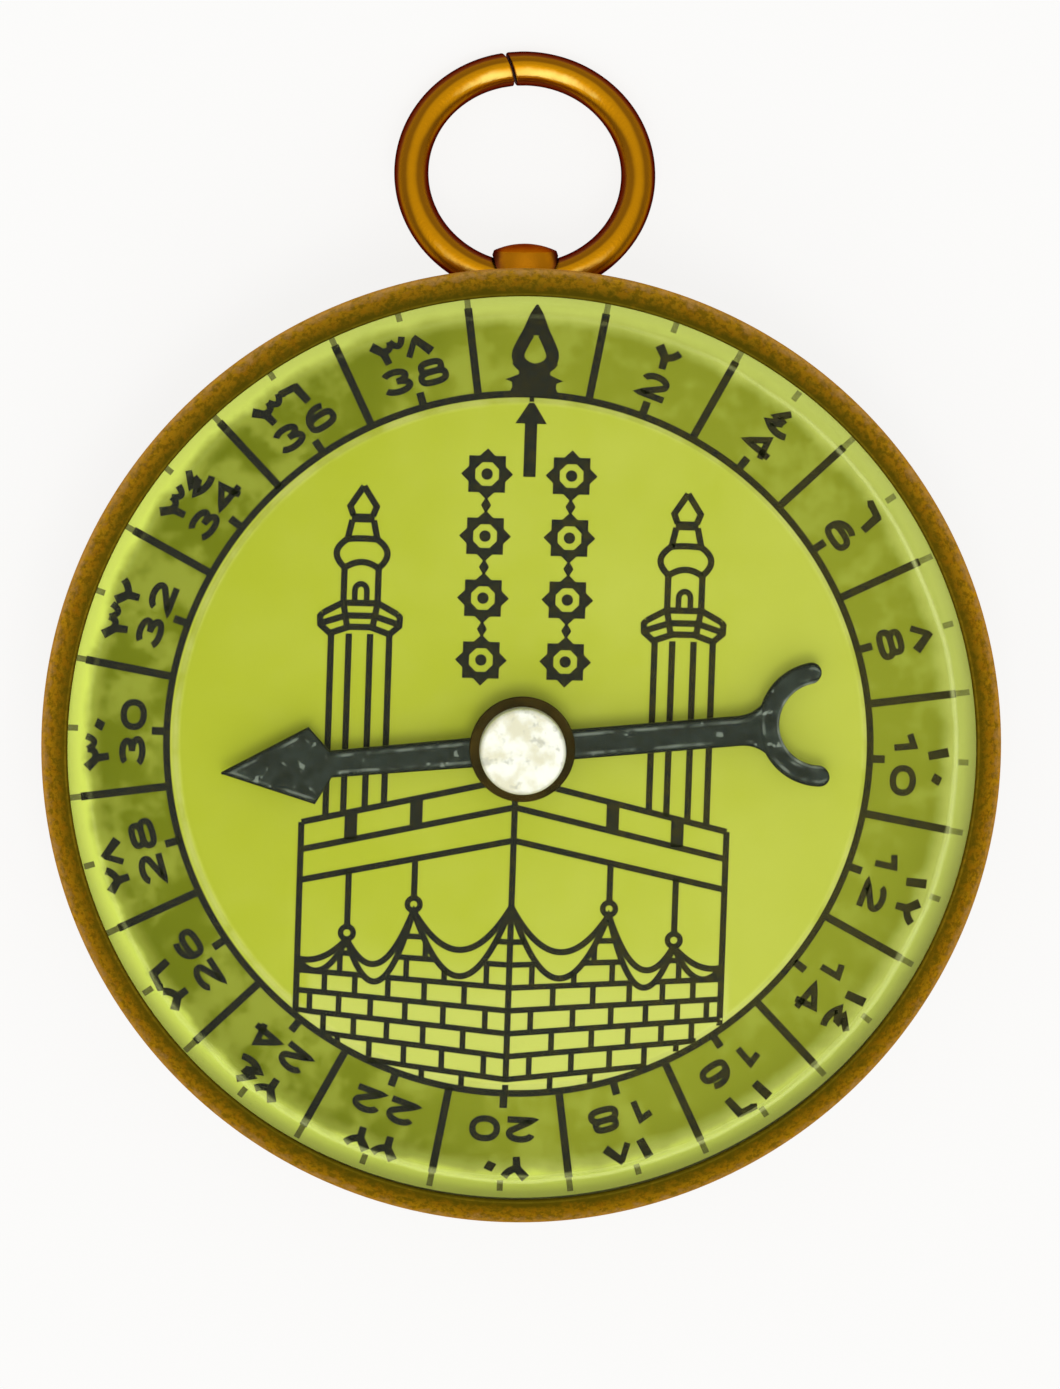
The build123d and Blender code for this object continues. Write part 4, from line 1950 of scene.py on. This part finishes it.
@dataclass
class Bow:
    """The split ring of wire and the turned lug that it hangs in."""

    eye_level: float = 5.27
    eye_reach: float = 21.66
    ring_radius: float = 5.36
    wire_radius: float = 0.81
    droop: float = 24.585
    split_angle: float = 7.3
    split_gap: float = 1.3
    split_slant: float = 13.0
    slant_reach: float = 25.0
    end_round: float = 0.1
    # Painted light on the wire: where its highlight leans and how its shade falls on the flanks.
    highlight_lean: float = -0.3
    shade: float = 5.0
    shade_start: float = 0.5
    flank_shade: float = 2.6
    flank_start: float = 0.4
    under_mark: float = 0.6
    under_reach: float = 0.35
    pan_radius: float = Case.pan_radius
    rivet_seat: float = 19.685
    shank_radius: float = 1.0
    head_radius: float = 1.6
    head_thickness: float = 0.45
    lug_radius: float = 1.68
    lug_taper: float = 0.6
    lug_end_radius: float = 1.48
    lug_crown: float = 0.33
    eye_radius: float = 1.16
    edge_soft: float = 0.07
    edge_steps: int = 2
    edge_angle: float = 40.0
    ring_points: int = 181
    wire_points: int = 48
    soft_points: int = 6
    soft_run: int = 3
    dome_points: int = 17
    segments: int = 96

    def build_ring(self, brass: WireBrass) -> None:
        """Carries the wire's circle round the ring, drawn in a little at its ends, which are cut aslant.

        The mark, which paints light and shade on the wire, is the cosine from the highlight's direction, less
        a share of how far a point faces sideways and a steeper one of how far it faces south. Underneath it
        goes back to the mark of plain brass.

        Args:
            brass: Its finish.
        """
        droop = math.radians(self.droop)
        side, out = np.array([1.0, 0, 0]), np.array([0, math.cos(droop), -math.sin(droop)])
        lift = np.array([0, math.sin(droop), math.cos(droop)])
        centre = np.array([0, self.eye_reach, self.eye_level]) + out * self.ring_radius
        start = self.split_angle + self.split_gap / 2
        turn = np.radians(np.linspace(start, start + 360 - self.split_gap, self.ring_points))
        soft = np.radians(np.linspace(0, 90, self.soft_points))
        lead = self.end_round * (1 - np.cos(soft)) / self.ring_radius
        slim = self.wire_radius - self.end_round * (1 - np.sin(soft))
        plain = turn[self.soft_run : -self.soft_run]
        turns = np.concatenate([turn[0] + lead, plain, turn[-1] - lead[::-1]])[:, None]
        wire = np.concatenate([slim, np.full(len(plain), self.wire_radius), slim[::-1]])[:, None]
        circle = np.linspace(0, 2 * math.pi, self.wire_points, endpoint=False)
        aside, rise = wire * np.cos(circle), wire * np.sin(circle)
        from_end = np.minimum(turns - turn[0], turn[-1] - turns) / math.radians(self.slant_reach)
        slant = math.tan(math.radians(self.split_slant)) * np.clip(1 - from_end, 0, 1) ** 2
        turns = (turns + slant * aside / self.ring_radius)[..., None]
        outward = out * np.cos(turns) - side * np.sin(turns)
        grid = centre + outward * (self.ring_radius + aside)[..., None] + lift * rise[..., None]
        facing = outward * np.cos(circle)[:, None] + lift * np.sin(circle)[:, None]
        # Painted highlight facing up and a little south; painted shade on the flanks, most on those facing
        # south.
        rubbed = facing @ np.array([0.0, self.highlight_lean, math.sqrt(1 - self.highlight_lean**2)])
        sideways = np.hypot(facing[..., 0], facing[..., 1])
        shaded = self.shade * np.maximum(-facing[..., 1] - self.shade_start, 0)
        shaded += self.flank_shade * np.maximum(sideways - self.flank_start, 0)
        under = np.clip(-facing[..., 2] / self.under_reach, 0, 1)
        mark = (rubbed - shaded) * (1 - under) + self.under_mark * under
        shell = Shell()
        shell.add(grid, wrap_rows=False, mark=mark)
        mesh = shell.mesh("wire_bow", brass.painted_light_mark)
        finished("wire_bow", mesh, brass.material(), "bow", ["bow_ring"])

    def build_lug(self, brass: LugBrass) -> None:
        """Turns the lug about its own axis and bores the ring's eye through it.

        Args:
            brass: Its finish.
        """
        end = node_box("pendant")[1][1]
        sphere = (self.lug_end_radius**2 + self.lug_crown**2) / (2 * self.lug_crown)
        crown = math.degrees(math.asin(self.lug_end_radius / sphere))
        seat = self.rivet_seat
        shank = line(
            (0.0, seat - self.head_thickness),
            (self.head_radius, seat - self.head_thickness),
            (self.head_radius, seat),
            (self.shank_radius, seat),
            (self.shank_radius, self.pan_radius),
            (self.lug_radius, self.pan_radius),
            (self.lug_radius, end - self.lug_crown - self.lug_taper),
        )
        dome = arc(0.0, end - sphere, sphere, sphere, 90 - crown, 90, self.dome_points)
        lug = Shell()
        lug.add(self._laid(revolved(np.concatenate([shank, dome]), self.segments)), wrap_rows=False)
        eye = Shell()
        reach = 2 * self.lug_radius
        bore = revolved(line((self.eye_radius, -reach), (self.eye_radius, reach)), self.segments)
        spot = np.array([0, self.eye_reach, self.eye_level])
        eye.add(bore[..., [2, 0, 1]] + spot, wrap_rows=False)
        finish = brass.material()
        piece = finished("turned_lug", lug.mesh("turned_lug"), finish, "case", ["pendant"])
        self._bored(piece, eye.mesh("eye_cutter"))
        soft = piece.modifiers.new("soft_edges", "BEVEL")
        soft.width, soft.segments = self.edge_soft * MM, self.edge_steps
        soft.limit_method, soft.angle_limit = "ANGLE", math.radians(self.edge_angle)

    def _laid(self, grid: Array) -> Array:
        """Lays a shape turned about Z down along Y, at the eye's level."""
        return np.stack([grid[..., 0], grid[..., 2], grid[..., 1] + self.eye_level], axis=-1)

    @staticmethod
    def _bored(piece: bpy.types.Object, cutter_mesh: bpy.types.Mesh) -> None:
        """Cuts a closed shape out of a piece and keeps the result as its mesh.

        Args:
            piece: The piece.
            cutter_mesh: The closed shape.
        """
        cutter = bpy.data.objects.new("eye_cutter", cutter_mesh)
        bpy.context.scene.collection.objects.link(cutter)
        cut = piece.modifiers.new("eye", "BOOLEAN")
        cut.operation, cut.solver, cut.object = "DIFFERENCE", "EXACT", cutter
        graph = bpy.context.evaluated_depsgraph_get()
        made = bpy.data.meshes.new_from_object(piece.evaluated_get(graph))
        piece.modifiers.clear()
        piece.data = made
        made.set_sharp_from_angle(angle=math.radians(SHARP_ANGLE))
        bpy.data.objects.remove(cutter)


@dataclass
class Studio:
    """Pale floor, one soft lamp, a sky that is brightest near its top, and the camera over the compass."""

    floor_reach: float = 1500.0
    floor_drop: float = 0.03
    floor_tone: Colour = (0.86, 0.855, 0.845)
    floor_white: Colour = (0.97, 0.965, 0.955)
    floor_show: float = 0.88
    sky_low: float = 0.3
    sky_north: float = 0.6
    sky_high: float = 1.35
    sky_axis: tuple[float, float, float] = (0.0, -0.36, 0.933)
    sky_wide: float = 58.0
    sky_core: float = 18.0
    target: tuple[float, float, float] = (0.348, 2.516, 9.6)
    distance: float = 450.0
    lean_x: float = -1.8
    lean_y: float = 6.19
    roll: float = 0.72
    focal_pixels: float = 9611.0
    sensor: float = 36.0
    key_place: tuple[float, float, float] = (20.0, -140.0, 880.0)
    key_size: float = 300.0
    key_power: float = 2.7

    def lay_floor(self) -> None:
        """Lays a wide pale sheet that is seen nearly white, with the object's shadow on it."""
        reach, drop = self.floor_reach * MM, -self.floor_drop * MM
        mesh = bpy.data.meshes.new("floor")
        corners = [(x * reach, y * reach, drop) for x, y in ((-1, -1), (1, -1), (1, 1), (-1, 1))]
        mesh.from_pydata(corners, [], [(0, 1, 2, 3)])
        floor = bpy.data.objects.new("floor", mesh)
        bpy.context.scene.collection.objects.link(floor)
        paint = Paint(bpy.data.materials.new("pale_floor"))
        path = paint.node("ShaderNodeLightPath")
        seen = paint.out(path, "Is Camera Ray") + paint.out(path, "Is Glossy Ray")
        seen = seen + paint.out(path, "Is Transmission Ray")
        paper = paint.principled({"Base Color": (*self.floor_tone, 1.0), "Roughness": 0.9})
        glow = paint.out(paint.node("ShaderNodeEmission", None, {"Color": (*self.floor_white, 1.0)}))
        mesh.materials.append(paint.show(paint.mix(seen * self.floor_show, paper, glow)))

    def hang_sky(self) -> None:
        """Hangs a sky that is brightest near the top, and paler low in the north than in the south."""
        world = bpy.data.worlds.new("soft_sky")
        paint = Paint(world)
        way = paint.out(paint.node("ShaderNodeTexCoord"), "Generated")
        rise = paint.node("ShaderNodeVectorMath", {"operation": "DOT_PRODUCT"}, {0: way, 1: self.sky_axis})
        north = paint.out(paint.node("ShaderNodeSeparateXYZ", None, {0: way}), "Y")
        wide, core = (math.cos(math.radians(angle)) for angle in (self.sky_wide, self.sky_core))
        tone = paint.blend(paint.zone(north, -1.0, 1.0), (self.sky_low,) * 3, (self.sky_north,) * 3)
        tone = paint.blend(paint.zone(paint.out(rise, "Value"), wide, core), tone, (self.sky_high,) * 3)
        paint.show(paint.out(paint.node("ShaderNodeBackground", None, {"Color": tone})))
        bpy.context.scene.world = world

    def hang_lamp(self) -> None:
        """Hangs a square soft lamp that faces the compass and leaves no glare on the clear cap."""
        data = bpy.data.lights.new("key", "AREA")
        data.size, data.energy = self.key_size * MM, self.key_power
        lamp = bpy.data.objects.new("key", data)
        lamp.visible_glossy = False
        bpy.context.scene.collection.objects.link(lamp)
        place = np.array(self.key_place)
        back = place - np.array(self.target)
        lamp.matrix_world = self._placed(place, back / np.linalg.norm(back), 0.0)

    @staticmethod
    def _placed(place: Array, back: Array, roll: float) -> Matrix:
        """Matrix of a thing at a place that looks away from its back, rolled about it in degrees.

        Args:
            place: Where it stands.
            back: Unit vector away from what it looks at.
            roll: Turn about that vector, in degrees.

        Returns:
            The matrix.
        """
        right = np.cross((0.0, 1.0, 0.0), back)
        right /= np.linalg.norm(right)
        up = np.cross(back, right)
        turn = math.radians(roll)
        made = np.eye(4)
        made[:3, 0] = math.cos(turn) * right + math.sin(turn) * up
        made[:3, 1] = math.cos(turn) * up - math.sin(turn) * right
        made[:3, 2] = back
        made[:3, 3] = place * MM
        return Matrix(made.tolist())

    def set_camera(self) -> None:
        """Hangs the camera nearly straight above, leaning as the photograph does."""
        data = bpy.data.cameras.new("camera")
        data.sensor_width = self.sensor
        data.lens = self.sensor * self.focal_pixels / IMAGE_HEIGHT
        camera = bpy.data.objects.new("camera", data)
        bpy.context.scene.collection.objects.link(camera)
        lean = [math.tan(math.radians(self.lean_x)), math.tan(math.radians(self.lean_y)), 1.0]
        back = np.array(lean) / np.linalg.norm(lean)
        camera.matrix_world = self._placed(np.array(self.target) + back * self.distance, back, self.roll)
        bpy.context.scene.camera = camera

    def build(self) -> None:
        """Sets up the floor, the light and the camera."""
        self.lay_floor()
        self.hang_sky()
        self.hang_lamp()
        self.set_camera()
        bpy.context.scene.view_settings.view_transform = "Standard"


def main() -> None:
    """Builds the compass piece by piece, then the studio."""
    logging.basicConfig(level=logging.INFO, format="%(name)s: %(message)s")
    case, dial, needle, crystal, bow = Case(), Dial(), Needle(), Crystal(), Bow()
    pan_brass = TonedBrass(
        "pan_brass",
        bright=(0.55, 0.285, 0.032),
        deep=(0.43, 0.205, 0.02),
        edge=(0.7, 0.45, 0.15),
    )
    rim_brass = RimBrass(
        "rim_brass",
        # rubbed is the painted highlight of the outer shoulder and the metal's edge tint; grime_and_shade
        # holds real dark spots and the painted shade.
        rubbed=(0.62, 0.36, 0.11),
        bright=(0.6, 0.315, 0.012),
        deep=(0.39, 0.175, 0.005),
        grime_and_shade=(0.13, 0.094, 0.004),
        inner_radius=case.lip_radius,
        outer_radius=22.5,
    )
    case.build(pan_brass, rim_brass)
    dial_paint = DialPaint(
        "dial_print",
        # Left and right tones: the dial painted paler towards the right, which is painted light.
        field_left=(0.425, 0.475, 0.026),
        field_right=(0.505, 0.55, 0.07),
        ring_left=(0.15, 0.178, 0.0),
        ring_right=(0.25, 0.282, 0.014),
        lit=(0.68, 0.72, 0.2),
        # Skirt and strip colours: the pale veil of the cap's skirt painted on the sheet; strip_low is
        # brighter against the shade low on the left.
        skirt_left=(0.37, 0.415, 0.05),
        skirt_right=(0.54, 0.6, 0.12),
        strip_low=(0.84, 0.96, 0.16),
        strip_high=(0.6, 0.67, 0.14),
        step_radius=16.24,
        ring_radius=16.6,
        skirt_radius=19.95,
        strip_radius=20.5,
        reach=PRINT_REACH,
        brick_half=CubeHouse.half_width,
        brick_top=CubeHouse.top_course[1],
    )
    ink = PrintInk("print_ink", full=(0.007, 0.007, 0.008), thin=(0.036, 0.03, 0.006), reach=PRINT_REACH)
    # Paler ink for the marks under the cap's skirt: the skirt's veil of light painted into the ink.
    faint_ink = PrintInk("faint_ink", full=(0.16, 0.165, 0.035), thin=(0.26, 0.28, 0.06), reach=PRINT_REACH)
    dial.build(dial_paint, ink, faint_ink)
    steel = BluedSteel(
        "blued_steel",
        dark=(0.007, 0.009, 0.009),
        grey=(0.033, 0.045, 0.042),
        rubbed=(0.34, 0.39, 0.34),
        # The bright band in the crescent's hollow is a painted reflection.
        hollow=needle.crescent_place(),
        hollow_radius=needle.crescent_radius - needle.crescent_half + needle.hollow_sheen_shift,
    )
    needle.build_needle(steel)
    # Near-black brass for the hub: painted shade on the collar round the cap.
    hub_brass = TonedBrass(
        "hub_brass",
        bright=(0.06, 0.035, 0.007),
        deep=(0.025, 0.014, 0.004),
        edge=(0.3, 0.2, 0.08),
    )
    cap_metal = BrightCap(
        "bright_metal",
        clean=(0.93, 0.92, 0.88),
        cream=(0.8, 0.76, 0.62),
        worn=(0.5, 0.49, 0.44),
    )
    needle.build_hub(hub_brass, cap_metal)
    clear = ClearCap(
        "clear_plastic",
        tint=(0.99, 0.995, 0.975),
        haze=(0.82, 0.9, 0.32),
        skirt_radius=20.4,
        rim_radius=21.3,
        bend_radius=20.34,
    )
    crystal.build(clear)
    # Wire colours: bright is the painted highlight, brown and red the painted shade of the flanks.
    wire_brass = WireBrass(
        "wire_brass",
        bright=(1.0, 0.68, 0.14),
        gold=(0.78, 0.33, 0.004),
        brown=(0.36, 0.14, 0.005),
        red=(0.17, 0.042, 0.016),
    )
    bow.build_ring(wire_brass)
    lug_brass = LugBrass(
        "lug_brass",
        # gold is a painted highlight along the crown, dark the painted shade down the sides.
        gold=(0.6, 0.22, 0.005),
        red=(0.38, 0.1, 0.004),
        dark=(0.16, 0.03, 0.018),
        half_width=bow.lug_radius,
        end=24.0,
    )
    bow.build_lug(lug_brass)
    post_brass = TonedBrass(
        "post_brass",
        bright=(0.4, 0.24, 0.06),
        deep=(0.22, 0.12, 0.03),
        edge=(0.6, 0.4, 0.15),
    )
    point_steel = GroundSteel("point_steel_ground", tone=(0.5, 0.5, 0.52), dull=(0.3, 0.3, 0.31))
    stone = BearingStone("stone_red", red=(0.45, 0.02, 0.04), cloud=(0.6, 0.08, 0.1))
    redressed("pivot_post", post_brass.material())
    redressed("pivot_point", point_steel.material())
    redressed("bearing_jewel", stone.material())
    Studio().build()


if __name__ == "__main__":
    main()
